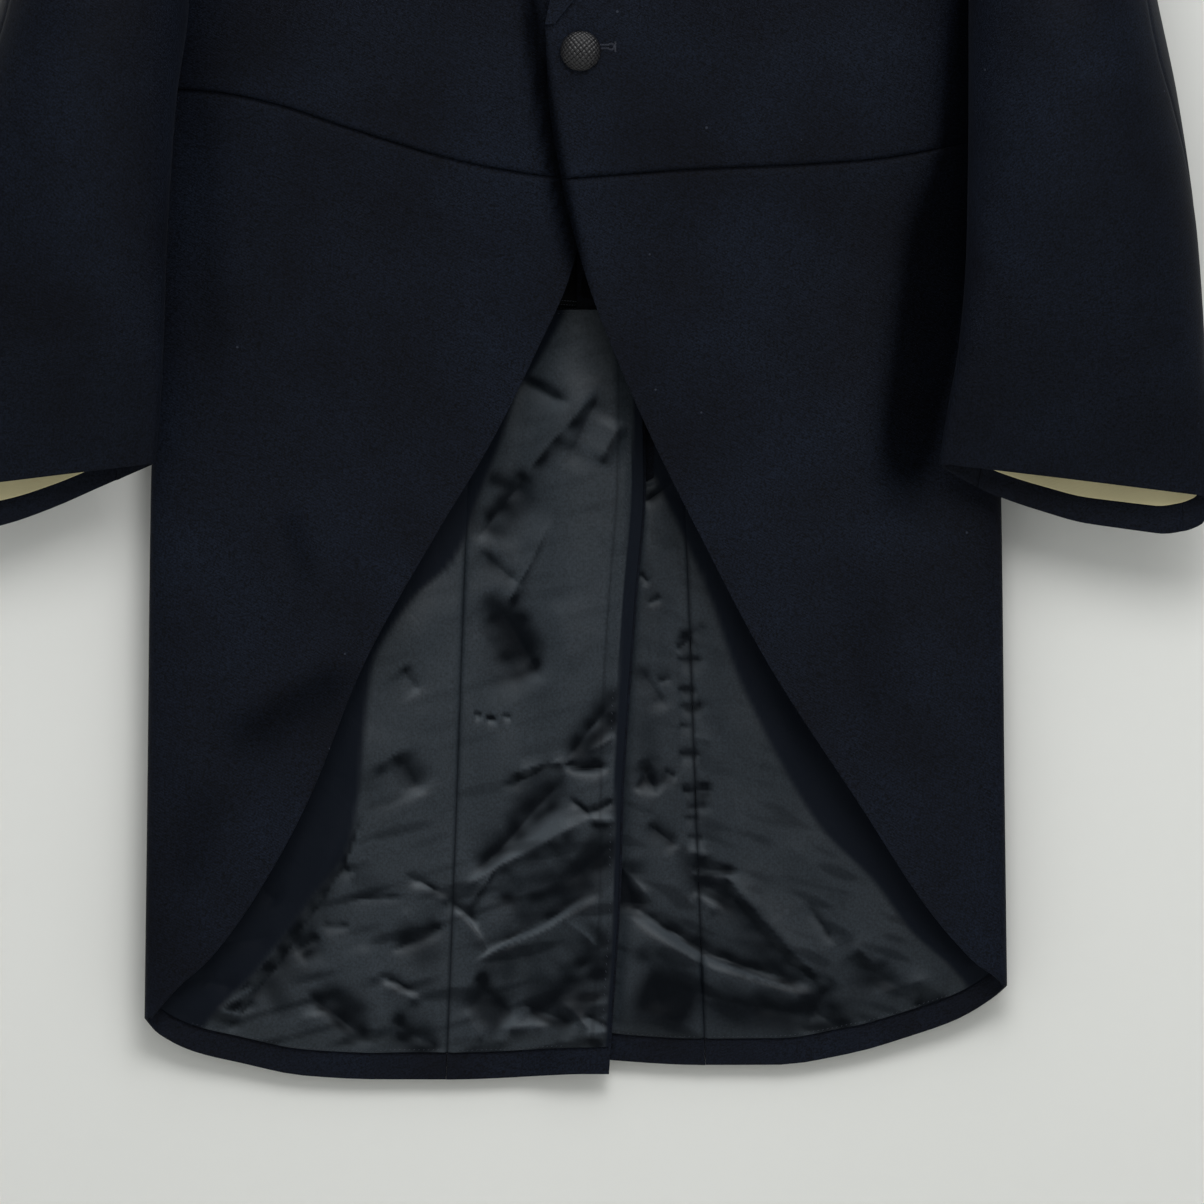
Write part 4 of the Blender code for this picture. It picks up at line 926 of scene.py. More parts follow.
def sleevePoint(side, step, angle, narrower=0.0, flatter=0.0):
    # angle 0 is outside, and a quarter turn is at the back
    step, angle = np.broadcast_arrays(np.asarray(step, float), np.asarray(angle, float))
    low = np.maximum(step, 1)
    name = sideName[side]
    value = {column: curve(low) for column, curve in sleeveCurve.items()}
    inX, outX = value[f"{name}In"], value[f"{name}Out"]
    inZ, outZ = -hookToNape - value["inBelow"], -hookToNape - value["outBelow"]
    reachX, reachZ = side * (outX - inX) / 2, (outZ - inZ) / 2
    reach = np.hypot(reachX, reachZ)
    flatness = np.maximum(1 - value["halfDepth"] / reach, 0)
    eased = angle - sleeveCut["tipCrowd"] * flatness * np.sin(2 * angle) / 2
    along = (reach - narrower) * np.cos(eased) / reach
    x = side * (inX + outX) / 2 + reachX * along + side * value["swell"] * np.sin(eased) ** 2
    y = value["y"] + (value["halfDepth"] - flatter) * np.sin(eased)
    droop = cuffDroop[side]((1 + np.cos(eased)) / 2)
    z = (inZ + outZ) / 2 + reachZ * along - value["tilt"] * droop * ease((np.sin(eased) / droopFold + 1) / 2)
    oval = np.stack([x, y, z], axis=-1)
    share = (1 - np.cos(angle)) / 2
    holes = []
    for front in (True, False):
        holeX, holeBelow = armhole(share, front)
        holes.append(bodyPoint(side, turnAt(holeX, holeBelow, front), holeBelow))
    hole = np.where((np.sin(angle) < 0)[..., None], holes[0], holes[1])
    hole[..., 0] += side * sleeveCut["clear"]
    hole[..., 2] += sleeveCut["clear"] * share
    mix = np.stack([1 - (1 - step) ** 2, step, step ** 2], axis=-1)
    return np.where((step >= 1)[..., None], oval, hole + (oval - hole) * mix)


def sleeveAngle(step, angle):
    share = ease((step - sleeveCut["hindFrom"]) / (sleeveCut["hindTo"] - sleeveCut["hindFrom"]))
    moved = (sleeveCut["hindLow"] - sleeveCut["hindHigh"]) * share
    away = np.abs(angle - 2 * math.pi - sleeveCut["hindHigh"])
    return angle + moved * ease(1 - away / sleeveCut["hindReach"])


def sleeveInset(side, step, angle, distance):
    turning = (sleevePoint(side, step, angle + 0.01) - sleevePoint(side, step, angle - 0.01)) / 0.02
    low, high = np.maximum(step - 0.05, 0), np.minimum(step + 0.05, sleeveCut["last"])
    down = unit(sleevePoint(side, high, angle) - sleevePoint(side, low, angle))
    return angle + distance / np.linalg.norm(np.cross(turning, down), axis=-1)


def surfaceNormal(points, side, closed=False):
    acrossIt = (np.roll(points, -1, 1) - np.roll(points, 1, 1)) if closed else np.gradient(points, axis=1)
    return unit(np.cross(np.gradient(points, axis=0), acrossIt)) * side


def sleeve(side):
    steps = np.interp(spread(sleeveCut["rows"]), [0, 0.1, 0.2, 1], [0, 0.6, 1.7, 10])
    whole = 2 * math.pi
    hind = whole + sleeveCut["hindHigh"]
    for piece, first, last in (("topsleeve", sleeveCut["forearmSeam"], hind),
                               ("undersleeve", hind, sleeveCut["forearmSeam"] + whole)):
        columns = partWay(first, last, stations(sleeveCut["width"], sleeveCut["cell"][piece]))
        angles = sleeveAngle(steps[:, None], columns[None, :])
        near = ease(1 - steps / sleeveCut["gapUntil"])
        gap = sleeveCut["gap"] + (sleeveCut["gapAtArmhole"] - sleeveCut["gap"]) * near
        angles[:, 0] = sleeveInset(side, steps, angles[:, 0], gap / 2)
        angles[:, -1] = sleeveInset(side, steps, angles[:, -1], -gap / 2)
        points = sleevePoint(side, steps[:, None], angles)
        normal = surfaceNormal(points, side)
        x, below = side * points[..., 0], -hookToNape - points[..., 2]
        front = np.sin(angles) < 0
        calm = ease(steps[:, None] / 2.5) * ease(np.abs(np.sin(angles)) / 0.5)
        ahead, behind = [creaseHeight(x, below, sleeveCut["creases"][half]) for half in (side, -side)]
        rise = np.where(front, ahead, behind) * calm
        rise = rise + sleeveCut["unevenness"] * waves(x, below, 120, diceSeeds["sleeve"] + side) * calm
        around = np.cumsum(np.linalg.norm(np.diff(points, axis=1, prepend=points[:, :1]), axis=-1), axis=1)
        for distance in (around, around[:, -1:] - around):
            rise = rise + seamDip(distance) * 0.8 + seamPucker(below, distance, 53) * calm
        points = points + normal * rise[..., None]
        uv = np.stack([around, -np.cumsum(np.full_like(x, sleeveCut["rowLength"]), axis=0)], axis=-1)
        clothWall(piece, side, [turnedOver(points, uv, side == left)], edgeRound=0.4)


def cuffLining(side):
    edge = sleeveCut["last"] - sleeveCut["turnUp"] / sleeveCut["stepLength"]
    top = sleeveCut["last"] - sleeveCut["liningHeight"] / sleeveCut["stepLength"]
    steps = partWay(top, edge, stations(sleeveCut["liningHeight"], 2.6, (0.7,)))
    columns = np.linspace(0, 2 * math.pi, 131)[:-1]
    angles = np.broadcast_to(columns[None, :], (len(steps), len(columns)))
    points = sleevePoint(side, steps[:, None], angles, sleeveCut["liningNarrower"],
                         sleeveCut["liningFlatter"])
    # the lining is a little fuller than the cuff: uneven shallow ripples that fade at its sewn edge
    fade = ease((edge - steps) / 0.5)[:, None]
    ripple = np.sin(columns * 9 + 1.3) * 0.35 + np.sin(columns * 14 + steps[:, None] * 2) * 0.25
    ripple = ripple + np.sin(columns * 23) * 0.12
    points = points - surfaceNormal(points, side, True) * ((ripple + 0.5) * fade)[..., None]
    uv = np.stack([angles * 60, -steps[:, None] * sleeveCut["stepLength"] + 0 * angles], axis=-1)
    clothWall("sleeveLining", side, [turnedOver(points, uv, side == left)], "ivory_sleeve_lining", lining,
              closed=True, edgeRound=0)


for side in (left, right):
    sleeve(side)
    cuffLining(side)
print("morning coat: sleeves cut")

# lapels and collar
gorge = {"x": 60, "below": 52}
notch = {"x": 116, "below": 96}
peak = {"x": 160, "below": 74}
lapelCut = {"widestX": 118, "widestBelow": 228, "thick": 2.0, "clear": 0.6, "rollLift": 4, "rollShare": 0.35,
            "flatOver": 200, "flatFrom": 330, "tip": 5, "cell": 4.5, "width": 100, "length": 370}
collarCut = {"stand": 30, "frontStand": 3, "fold": 7, "thick": 2.0, "bulge": 6, "stations": 150, "clear": 0.4}
collarEdgeRows = rowsOf("share x below", (0.0, 0, 14), (0.25, 62, 8), (0.5, 104, -2), (0.75, 120, 28),
                        (0.9, 125, 62),
                        (1.0, 116, 95))


def lapel(side):
    def roll(v):
        return [partWay(gorge[axis], rollEnd[axis], v) for axis in ("x", "below")]

    def outer(v):
        ends = (peak["x"], peak["below"]), (rollEnd["x"] + lapelCut["tip"], rollEnd["below"])
        parts = (1 - v) ** 2, 2 * v * (1 - v), v * v
        widest = lapelCut["widestX"], lapelCut["widestBelow"]
        mids = [2 * widest[i] - (ends[0][i] + ends[1][i]) / 2 for i in (0, 1)]
        return tuple(parts[0] * ends[0][i] + parts[1] * mids[i] + parts[2] * ends[1][i] for i in (0, 1))

    def gorgeLine(u):
        return [np.interp(u, [0, 0.5, 1], [p[axis] for p in (gorge, notch, peak)]) for axis in ("x", "below")]

    def endEdge(u):
        return rollEnd["x"] + lapelCut["tip"] * u, rollEnd["below"] + 0 * u

    columns = np.unique(np.concatenate((stations(lapelCut["width"], lapelCut["cell"]), [0.5])))
    x, below = coons(gorgeLine, endEdge, roll, outer, stations(lapelCut["length"], lapelCut["cell"]), columns)
    turn = turnAt(x, below, True)
    rollLift = lapelCut["rollLift"] * (1 - ease(columns / lapelCut["rollShare"]))[None, :]
    flat = (below - lapelCut["flatOver"]) / (lapelCut["flatFrom"] - lapelCut["flatOver"])
    rollLift = rollLift * (1 - ease(flat))
    uneven = 0.15 * (1 + waves(x, below, 60, diceSeeds["lapel"] + side))
    out = lapelCut["clear"] + lapelCut["thick"] + rollLift + uneven
    points = bodyPoint(side, turn, below) + bodyNormal(side, turn, below) * out[..., None]
    uv = np.stack([x, -below], axis=-1)
    clothWall("lapel", side, [turnedOver(points, uv, side == left)], thick=lapelCut["thick"], edgeRound=0.5)


def bowed(first, pull, last, count):  # points along a curve that one point pulls, without its first
    shares = np.linspace(0, 1, count + 1)[1:]
    return [first * (1 - t) ** 2 + pull * 2 * t * (1 - t) + last * t * t for t in shares]


def collar():
    place = np.linspace(-1, 1, collarCut["stations"] + 1)
    points, uv = [], []
    edgeX, edgeBelow = [curveThrough(collarEdgeRows, "share", axis) for axis in ("x", "below")]
    for whole in place:
        side = left if whole > 0 else right
        share = abs(whole)
        if share <= 0.5:
            x, below = neckline(share * 2)
            seat = bodyPoint(side, turnAt(x, below, False), below)
        else:
            x = partWay(shoulder["neckX"], gorge["x"], share - 0.5, 0.5)
            below = partWay(shoulder["neckBelow"], gorge["below"], share - 0.5, 0.5)
            seat = bodyPoint(side, turnAt(x, below, True), below)
        away = unit(np.array([seat[0], seat[1], 0.0]))
        stand = partWay(collarCut["stand"], collarCut["frontStand"], ease((share - 0.35) / 0.65))
        up = np.array([0, 0, 1.0])
        foot = seat + up * 3 * seam - away * wool
        inner = foot + up * stand + away
        outer = inner + away * collarCut["fold"]
        x, below = edgeX(share), edgeBelow(share)
        turn = turnAt(x, below, share > 0.5)
        clear = collarCut["thick"] + seam + collarCut["clear"]
        edge = bodyPoint(side, turn, below) + bodyNormal(side, turn, below) * clear
        pull = (outer + edge) / 2 + (away + up) * collarCut["bulge"]
        fall = bowed(outer, pull, edge, 14)
        crest = (inner + outer) / 2 + up * collarCut["fold"] * 0.35
        bend = bowed(inner, crest * 2 - (inner + outer) / 2, outer, 6)
        upright = [foot, foot * 0.75 + inner * 0.25, (foot + inner) / 2, foot * 0.25 + inner * 0.75, inner]
        points.append([*upright, *bend, *fall])
        uv.append([(whole * 240, i * 4) for i in range(len(points[-1]))])
    clothWall("collar", 0, [(np.array(points), np.array(uv))], thick=collarCut["thick"], edgeRound=0.5)


lapel(left)
lapel(right)
collar()
print("morning coat: lapels and collar cut")

# linings. Creases stand towards the wearer; x here is seen from the front, plus to the wearer's left
liningCut = {
    "gap": 1.2, "top": 576, "hem": 15, "underLap": 6, "bodyTurn": 0.4, "unevenness": 0.4, "stand": 2.8,
    "crest": 1.15, "cell": 1.3, "sideCell": 1.6, "seamDip": 0.4, "ventGap": 37, "ventTurn": 1.2,
    "sewnFlat": {"seam": 24.0, "sideSeam": 26.0, "vent": 14.0, "hem": 12.0, "side": 14.0, "body": 6.0},
    "width": {right: 105, left: 64}, "length": 400, "sideWidth": 185, "sideLength": 395,
}
# how the satin's painted shade and highlights are drawn: sizes in millimetres, the rest are shares
markPlan = {
    "wander": 0.9, "leanDark": 0.4, "hollowDark": 2.1, "lightRise": 0.48, "darkCrest": 2.4, "seam": 0.85,
    "seamWidth": 1.1, "lookX": 0.2, "lookBelow": 1.5, "ventEdge": 2.4, "ventBlur": 1.2, "ventShadeAt": 10.0,
    "ventShade": 0.4, "ventWidth": 0.9,
    "shade": {right: 0.03, left: 0.22}, "shadeStreaks": 0.14, "streakShade": {right: 0.5, left: 0.26}, "streakShadeFrom": 800,
    "streakShadeOver": 120,
}
# the panels on the wearer's right, from the cutaway's tip down. Most creases are steep on one side only
rightCreases = rowsOf(
    creaseColumns,
    # long folds from the tip, the facet between them and the pressed line beside the vent
    (16, 612, -32, 674, 0, 2.3, 4.5, 24), (13, 617, -7, 666, 1, -1.3, 13, 5),
    (-24, 663, -56, 706, 0, -2.5, 15, 4.5), (27, 637, 14, 664, 0, 1.7, 4, 12),
    (-10, 688, -47, 749, 1.5, 1.3, 3, 12), (-34, 613, -3, 629, 0, -1.9, 3, 8),
    (-54, 708, -29, 729, 0, -1.8, 4, 11), (28, 650, 26, 715, 0, 0.7, 3, 9),
    # the deep soft hollow at the middle
    (-49, 728, -15, 784, 0, -3.6, 10, 24), (-12, 735, 0, 778, 0, 1.0, 12, 9),
    (-56, 690, -60, 780, 0, 0.8, 8, 7),
    # stitches that pull on the lining
    (-57, 800.5, -50.5, 801, 0, -1.1, 1.5, 2.5), (-50, 802, -42.5, 802.5, 0, -1.3, 1.5, 2.5),
    (-41, 800, -34.5, 800.5, 0, -1.0, 1.5, 2.5),
    # tucks that run down from the vent
    (28, 782, -9, 829, 0, -2.9, 12, 6), (-8, 828.5, 20, 829, 0, -3.2, 2.4, 2.2),
    (-4, 826, -36, 833, -1.5, 1.7, 3, 4), (-8, 822, -42, 840, 2, -1.9, 5, 3),
    (24, 811, 6, 822, 0, 0.9, 2.4, 3), (20, 798, 22, 806, 0, -0.8, 3, 3),
    (0, 829, -62, 895, 0, -3.4, 12, 8), (12, 855, -50, 889, -1.5, 2.6, 8, 9),
    (5, 857, 23, 858, 0, 1.4, 2.2, 2.6), (-4, 845, 10, 856, 0, -1.6, 1.8, 2),
    (23, 846, 7, 854, 0, -1.4, 2, 1.8), (-31, 877, -63, 896, 0, 1.4, 2.6, 4),
    (-43, 883, -59, 908, 0, 1.3, 2.4, 5), (4, 883, -52, 903, 2, -1.7, 16, 12),
    (28, 866, -8, 894, 0, -2.4, 16, 8),
    # the long bright fold above the hem
    (13, 895, -58, 936, 0, -1.9, 2, 7), (16, 899, -62, 941, 0, 3.2, 15, 2.6),
    (-6, 912, 15, 933, 0, 0.8, 1.8, 4), (-71, 900, -51, 917, 0, -1.9, 3, 4),
    (-70, 904, -49, 935, 3, 1.7, 2.2, 6),
    # lumps above the hem and the pucker at the vent's foot
    (-58, 945, -30, 968, 0, -2.5, 8, 16), (-30, 958, 4, 972, 0, -2.3, 5, 12),
    (-43, 973, -12, 971, 0, 1.6, 4, 5), (-10, 953, 15, 982, 0, 2.2, 5, 9),
    (4, 964, 21, 972, 0, -1.6, 1.8, 2.2), (3, 976, 20, 974, 0, 1.5, 1.8, 2.2),
    (8, 986, 21, 976, 0, -1.5, 1.8, 2), (-64, 960, -50, 982, 0, 1.2, 7, 10),
    (8, 930, 12, 960, 0, -1.2, 10, 10), (24, 912, -22, 972, 0, -2.4, 20, 12),
    # the side panel: it lies back from the cutaway edge over a long soft ridge, sharp lower down
    (-84, 716, -118, 852, -12, 2.6, 46, 18), (-115, 800, -152, 908, 4, 2.2, 38, 16),
    (-116, 840, -210, 974, 9, 3.0, 2.6, 17), (-111, 845, -204, 979, 9, -2.2, 8, 2.4),
    (-156, 931, -138, 923, 0, -2.4, 4, 6), (-132, 883, -122, 887, 0, -1.4, 3, 4),
    (-97, 773, -84, 788, 0, -1.3, 4, 8), (-99, 819, -83, 845, 0, -2.9, 6, 14),
    (-66, 690, -76, 870, 3, 0.8, 9, 18), (-95, 887, -70, 900, 0, -1.9, 2.6, 3),
    (-90, 891, -69, 903, 0, 1.5, 2.4, 5), (-104, 931, -69, 915, 0, -2.2, 6, 3),
    (-111, 942, -85, 954, 0, -1.6, 2.4, 2.2), (-108, 947, -83, 958, 0, 1.2, 2.4, 6),
    (-129, 901, -89, 900, 0, -0.7, 1.8, 3), (-140, 917, -122, 917, 0, -1.0, 1.8, 2),
    (-150, 951, -110, 983, 0, -3.0, 8, 5), (-105, 968, -70, 985, 0, -2.6, 8, 12),
    (-154, 969, -130, 962, 0, 1.2, 6, 8), (-120, 925, -110, 950, 0, 0.9, 9, 9),
    (-96, 905, -84, 925, 0, 0.7, 8, 8),
    # crumples towards the corner
    (-182, 888, -162, 904, 0, -2.7, 6, 9), (-204, 926, -164, 921, 0, -2.1, 5, 6),
    (-216, 943, -183, 950, 0, -2.8, 5, 5), (-209, 954, -194, 939, 0, 1.2, 2.2, 3),
    (-197, 965, -177, 948, 0, 1.7, 2.2, 4), (-203, 960, -181, 968, 0, 1.5, 2.2, 3),
    (-192, 975, -177, 955, 0, -1.5, 2.6, 3), (-186, 878, -194, 934, 0, 1.1, 8, 12),
    (-150, 860, -162, 906, 0, 0.8, 9, 14))
# the panels on the wearer's left
leftCreases = rowsOf(
    creaseColumns,
    (35, 684, 55, 670, 0, -1.9, 1.8, 4), (35, 720, 41, 728, 0, -1.4, 1.6, 2.4),
    (39, 738.5, 48, 735, 0, -1.1, 1.6, 2), (35, 771, 51, 798, 0, -1.6, 4, 8),
    (34, 826, 45, 844, 0, -2.3, 5, 3), (38, 858, 58, 873, 0, -2.1, 4, 5),
    (32, 843, 42, 827, 0, -1.6, 2.6, 3), (44, 700, 46, 820, 0, 0.6, 7, 9),
    # a hollow where the lining tucks under the vent, and the two long folds from it to the hem
    (25, 879, 32, 911, 0, -3.6, 8, 5), (20, 878, 44, 905, 0, 2.0, 3, 8),
    (20, 906, 44, 903, 0, -1.3, 2.4, 2.4), (22, 898, 141, 951, -8, -3.0, 4, 8),
    (24, 904, 141, 957, -8, 3.1, 2.8, 26), (20, 906, 104, 948, -5, 2.2, 4, 40),
    (60, 938, 106, 962, -3, 1.5, 12, 10), (36, 924, 48, 968, 0, -2.2, 9, 12),
    (92, 958, 128, 966, 0, -1.8, 8, 8), (76, 877, 143, 950, -5, 2.6, 11, 3),
    (74, 882, 139, 952, -5, -1.9, 2.4, 8), (62, 883.5, 93, 888, 0, -2.9, 2, 4),
    (62, 888, 88, 891, 0, 1.7, 2, 3), (62, 889, 90, 905, 0, -2.8, 7, 5), (63, 897, 80, 909, 0, 1.3, 3, 5),
    # pulls along the seam, uneven in length and depth
    (55, 765, 65, 757, 0, -2.0, 1.8, 4), (55, 760, 72, 751, 0, -1.1, 3, 6),
    (55, 769, 72, 769.5, 0, -1.7, 2, 5), (55, 785, 68, 785.5, 0, -1.9, 1.8, 4),
    (55, 795, 72, 794, 0, -2.0, 2, 4), (55, 806, 65, 806, 0, -0.9, 2, 4),
    (56, 821.5, 70, 822.5, 0, -1.9, 2, 4), (57, 841.5, 77, 840.5, 0, -3.2, 1.8, 4.5),
    (58, 850, 75, 850, 0, -1.4, 2.4, 4), (58, 856, 69, 857, 0, -1.0, 2, 4),
    (60, 866, 73, 869, 0, -1.0, 3, 4), (61, 875, 76, 878, 0, 1.1, 3, 4), (54, 778, 45, 782, 0, -0.8, 3, 3),
    (57, 835, 48, 831, 0, -0.9, 3, 3), (64, 812, 76, 815, 0, 0.8, 5, 5),
    # towards the corner of the skirt
    (127, 902, 144, 926, 0, -1.8, 1.8, 3), (142, 945, 125, 977, 0, -2.2, 5, 5),
    (121, 956, 154, 979, 0, -2.8, 8, 8), (146, 932, 190, 957, 0, -2.3, 8, 14),
    (160, 956, 200, 943, 0, 1.6, 7, 10), (150, 923, 168, 942, 0, 1.2, 6, 5),
    (176, 903, 214, 952, 2, 1.1, 12, 12), (184, 959, 208, 960, 0, -1.6, 5, 5),
    (90, 750, 122, 856, 6, 0.9, 14, 20), (110, 868, 152, 906, 3, 0.8, 14, 10),
    (44, 944, 130, 966, -3, -2.4, 16, 13))
liningCut["creases"] = {right: rightCreases, left: leftCreases}


# where the wool facing and the painted shadow of each cutaway edge end and the satin starts, and how softly
facingShadowRows = {
    right: rowsOf("below x", (579, 6), (612, 25), (621, 32), (648, 41), (681, 54), (712, 66), (736, 90),
                  (773, 112),
                  (815, 117), (839, 119), (872, 126), (901, 146), (939, 175), (965, 200), (985, 214)),
    left: rowsOf("below x", (579, 2), (614, 15), (637, 27), (736, 74), (776, 88), (823, 111), (862, 135),
                 (890, 163),
                 (918, 184), (941, 209), (985, 240)),
}
facingShadowX = {side: curveThrough(rows, "below", "x") for side, rows in facingShadowRows.items()}
facingShadowBlur = {right: 5.0, left: 6.0}
# painted shade on facets, drawn in the finish alone; height is how dark
darkRows = {
    right: rowsOf(
        creaseColumns, (-26, 615, -5, 627, 0, 0.6, 4, 3), (14, 612, -27, 672, 0, 0.15, 9, 1.2),
        (-20, 662, -64, 706, 0, 0.2, 6, 1.2), (-51, 666, -31, 676, 0, 0.9, 6, 4),
        (-56, 670, -61, 706, 0, 0.5, 6, 3), (-45, 738, -20, 772, 0, 1.0, 9, 12),
        (-50, 730, -40, 746, 0, 0.6, 3, 5), (28, 638, 12, 664, 0, 0.45, 5, 1),
        (22, 798, 0, 826, 0, 0.6, 6, 2), (20, 858, -22, 906, 0, 0.8, 15, 4),
        (-2, 832, -40, 850, 0, 0.4, 8, 3), (-100, 822, -84, 838, 0, 0.6, 8, 6),
        (-62, 950, -38, 974, 0, 0.7, 9, 9), (-142, 946, -112, 968, 0, 0.8, 6, 5),
        (-214, 924, -178, 947, 0, 0.8, 8, 9), (-172, 940, -158, 968, 0, 0.6, 8, 6),
        (-34, 940, 14, 964, 0, 0.55, 10, 14), (-96, 912, -76, 940, 0, 0.5, 10, 8),
        (-128, 884, -104, 900, 0, 0.35, 8, 5)),
    left: rowsOf(
        creaseColumns, (28, 946, 72, 964, 0, 1.2, 20, 20), (60, 952, 136, 968, 0, 0.85, 8, 14),
        (80, 894, 122, 934, 0, 0.5, 4, 13), (22, 884, 36, 908, 0, 0.9, 6, 8),
        (38, 700, 44, 760, 0, 0.25, 6, 6), (58, 872, 72, 902, 0, 0.5, 5, 7),
        (150, 930, 196, 958, 0, 0.5, 5, 10), (36, 790, 48, 846, 0, 0.35, 5, 8)),
}


def setMark(piece, label, amount):
    mark = piece.data.attributes.new(label, "FLOAT", "POINT")
    mark.data.foreach_set("value", np.clip(amount, 0, 1).astype(np.float32))


def placesOf(piece):
    places = np.array([v.co for v in piece.data.vertices]) / mm
    return places[:, 0], -hookToNape - places[:, 2]


def markSatin(piece, side, toSeam, toVent=None):
    # the painted shade, painted highlights and wool facing with painted shadow that the satin's finish reads
    x, below = placesOf(piece)
    outX = side * x
    creases, crest = liningCut["creases"][side], liningCut["crest"]
    # the marks wander a little, as creases in soft cloth do
    bentX = x + markPlan["wander"] * waves(x, below, 46, 3)
    bentBelow = below + markPlan["wander"] * waves(x, below, 52, 4)
    height = creaseHeight(bentX, bentBelow, creases, crest)
    lower = creaseHeight(bentX + markPlan["lookX"], bentBelow + markPlan["lookBelow"], creases, crest)
    # painted shade on facets that lean downwards and in hollows
    leaning = ease((height - lower) / markPlan["leanDark"]) * (0.75 + 0.25 * waves(x, below, 11, 6))
    hollow = ease(-height / markPlan["hollowDark"]) * (0.8 + 0.25 * waves(x, below, 13, 8))
    dark = creaseHeight(bentX, bentBelow, darkRows[side], markPlan["darkCrest"])
    # painted shade in streaks, stronger towards the hem
    across, onward = 0.35 * side * -x + 0.94 * below, 0.94 * x + 0.35 * side * below
    shadeStreaks = ease((waves(onward / 4, across, 12, 15 + side) - 0.2) / 1.0)
    lowerShade = markPlan["streakShade"][side] * ease((below - markPlan["streakShadeFrom"]) / markPlan["streakShadeOver"])
    streakShade = markPlan["shade"][side] + (markPlan["shadeStreaks"] + lowerShade) * shadeStreaks
    # painted shade along the seam
    sewn = markPlan["seam"] * bell(toSeam(outX, below), markPlan["seamWidth"])
    facingAndShadow = ease((outX - facingShadowX[side](below)) / facingShadowBlur[side] + 0.5)
    if toVent:  # the wool edge of the vent, and a painted shade line beside it
        gap = toVent(outX, below)
        facingAndShadow = np.maximum(facingAndShadow, ease((markPlan["ventEdge"] - gap) / markPlan["ventBlur"] + 0.5))
        ventShadeLine = bell(gap - markPlan["ventShadeAt"], markPlan["ventWidth"])
        sewn = np.maximum(sewn, markPlan["ventShade"] * ventShadeLine)
    clear = np.ones_like(x)
    for amount in (leaning, hollow, dark, streakShade, sewn):
        clear = clear * (1 - np.clip(amount, 0, 1))
    setMark(piece, "paintedShade", 1 - clear)
    # painted highlight on facets that lean up to the light
    setMark(piece, "paintedHighlight", ease((lower - height) / markPlan["lightRise"]) * (1 - facingAndShadow))
    setMark(piece, "facingAndShadow", facingAndShadow)


def liningPanel(kind, side, borders, shares, edges, slot="charcoal_satin", covered=None):
    turn, below = coons(*borders, *shares)
    out = -(wool + liningCut["gap"])

    def lift(x, below, turn):
        seenX = side * x
        uneven = liningCut["unevenness"] * waves(seenX, below, 48, diceSeeds["lining"] + side)
        fullness = liningCut["stand"] + uneven
        folds = creaseHeight(seenX, below, liningCut["creases"][side], liningCut["crest"])
        dip = 0 * x
        for distance, keep in edges:
            gap = distance(x, below)
            fullness = fullness * ease(gap / keep)
            folds = folds * ease(gap / 2.5)
            dip = dip + bell(gap, 0.9)
        rise = fullness + folds if slot == "charcoal_satin" else fullness
        if covered:  # flat where the other panel of the vent lies over it
            rise = rise * covered(x, below)
        return -np.maximum(rise - liningCut["seamDip"] * np.minimum(dip, 1), -0.6)

    return clothWall(kind, side, [bodyGrid(side, turn, below, out, lift)], slot, lining, edgeRound=0.25)


def hemLine(side, x):
    return hemAt[side](x) - liningCut["hem"]


def backLining(side):
    topBelow, keeps = liningCut["top"], liningCut["sewnFlat"]

    def edgeX(below):
        if side == right:
            return liningCut["ventTurn"] - ventWool(below)
        opening = ease((below - 606) / 16) * ease((682 - below) / 14)  # the vent gapes a little near its top
        return liningCut["underLap"] + liningCut["ventGap"] * opening

    def seamX(below):
        return backSeamX(below) - hairGap / 2

    def run(footX, xAt):
        def curve(v):
            below = partWay(topBelow, hemLine(side, footX), v)
            return turnAt(xAt(below), below, False), below
        return curve

    def top(u):
        x = edgeX(topBelow) * (1 - u) + seamX(topBelow) * u
        return turnAt(x, topBelow, False), topBelow + 0 * u

    def bottom(u):
        x = edgeX(vent["bottom"]) * (1 - u) + seamX(vent["bottom"]) * u
        below = hemLine(side, np.maximum(x, 0))
        return turnAt(x, below, False), below

    def underVent(x, below):
        return ease((x - ventLining(below) - 1) / 9)

    def toSeam(x, below):
        return seamX(below) - x

    def toVent(x, below):
        return x + ventLining(below) if side == right else x - edgeX(below)

    # the lining is sewn down along the seam, the vent and the hem, and fuller in between
    edges = [(toSeam, keeps["seam"]), (toVent, keeps["vent"]),
             (lambda x, below: hemLine(side, np.maximum(x, 0)) - below, keeps["hem"])]
    sizes = liningCut["length"], liningCut["width"][side]
    shares = [stations(size, liningCut["cell"]) for size in sizes]
    panel = liningPanel("backLining", side, (top, bottom, run(0, edgeX), run(72, seamX)), shares, edges,
                        covered=underVent if side == left else None)
    markSatin(panel, side, toSeam, toVent if side == right else None)


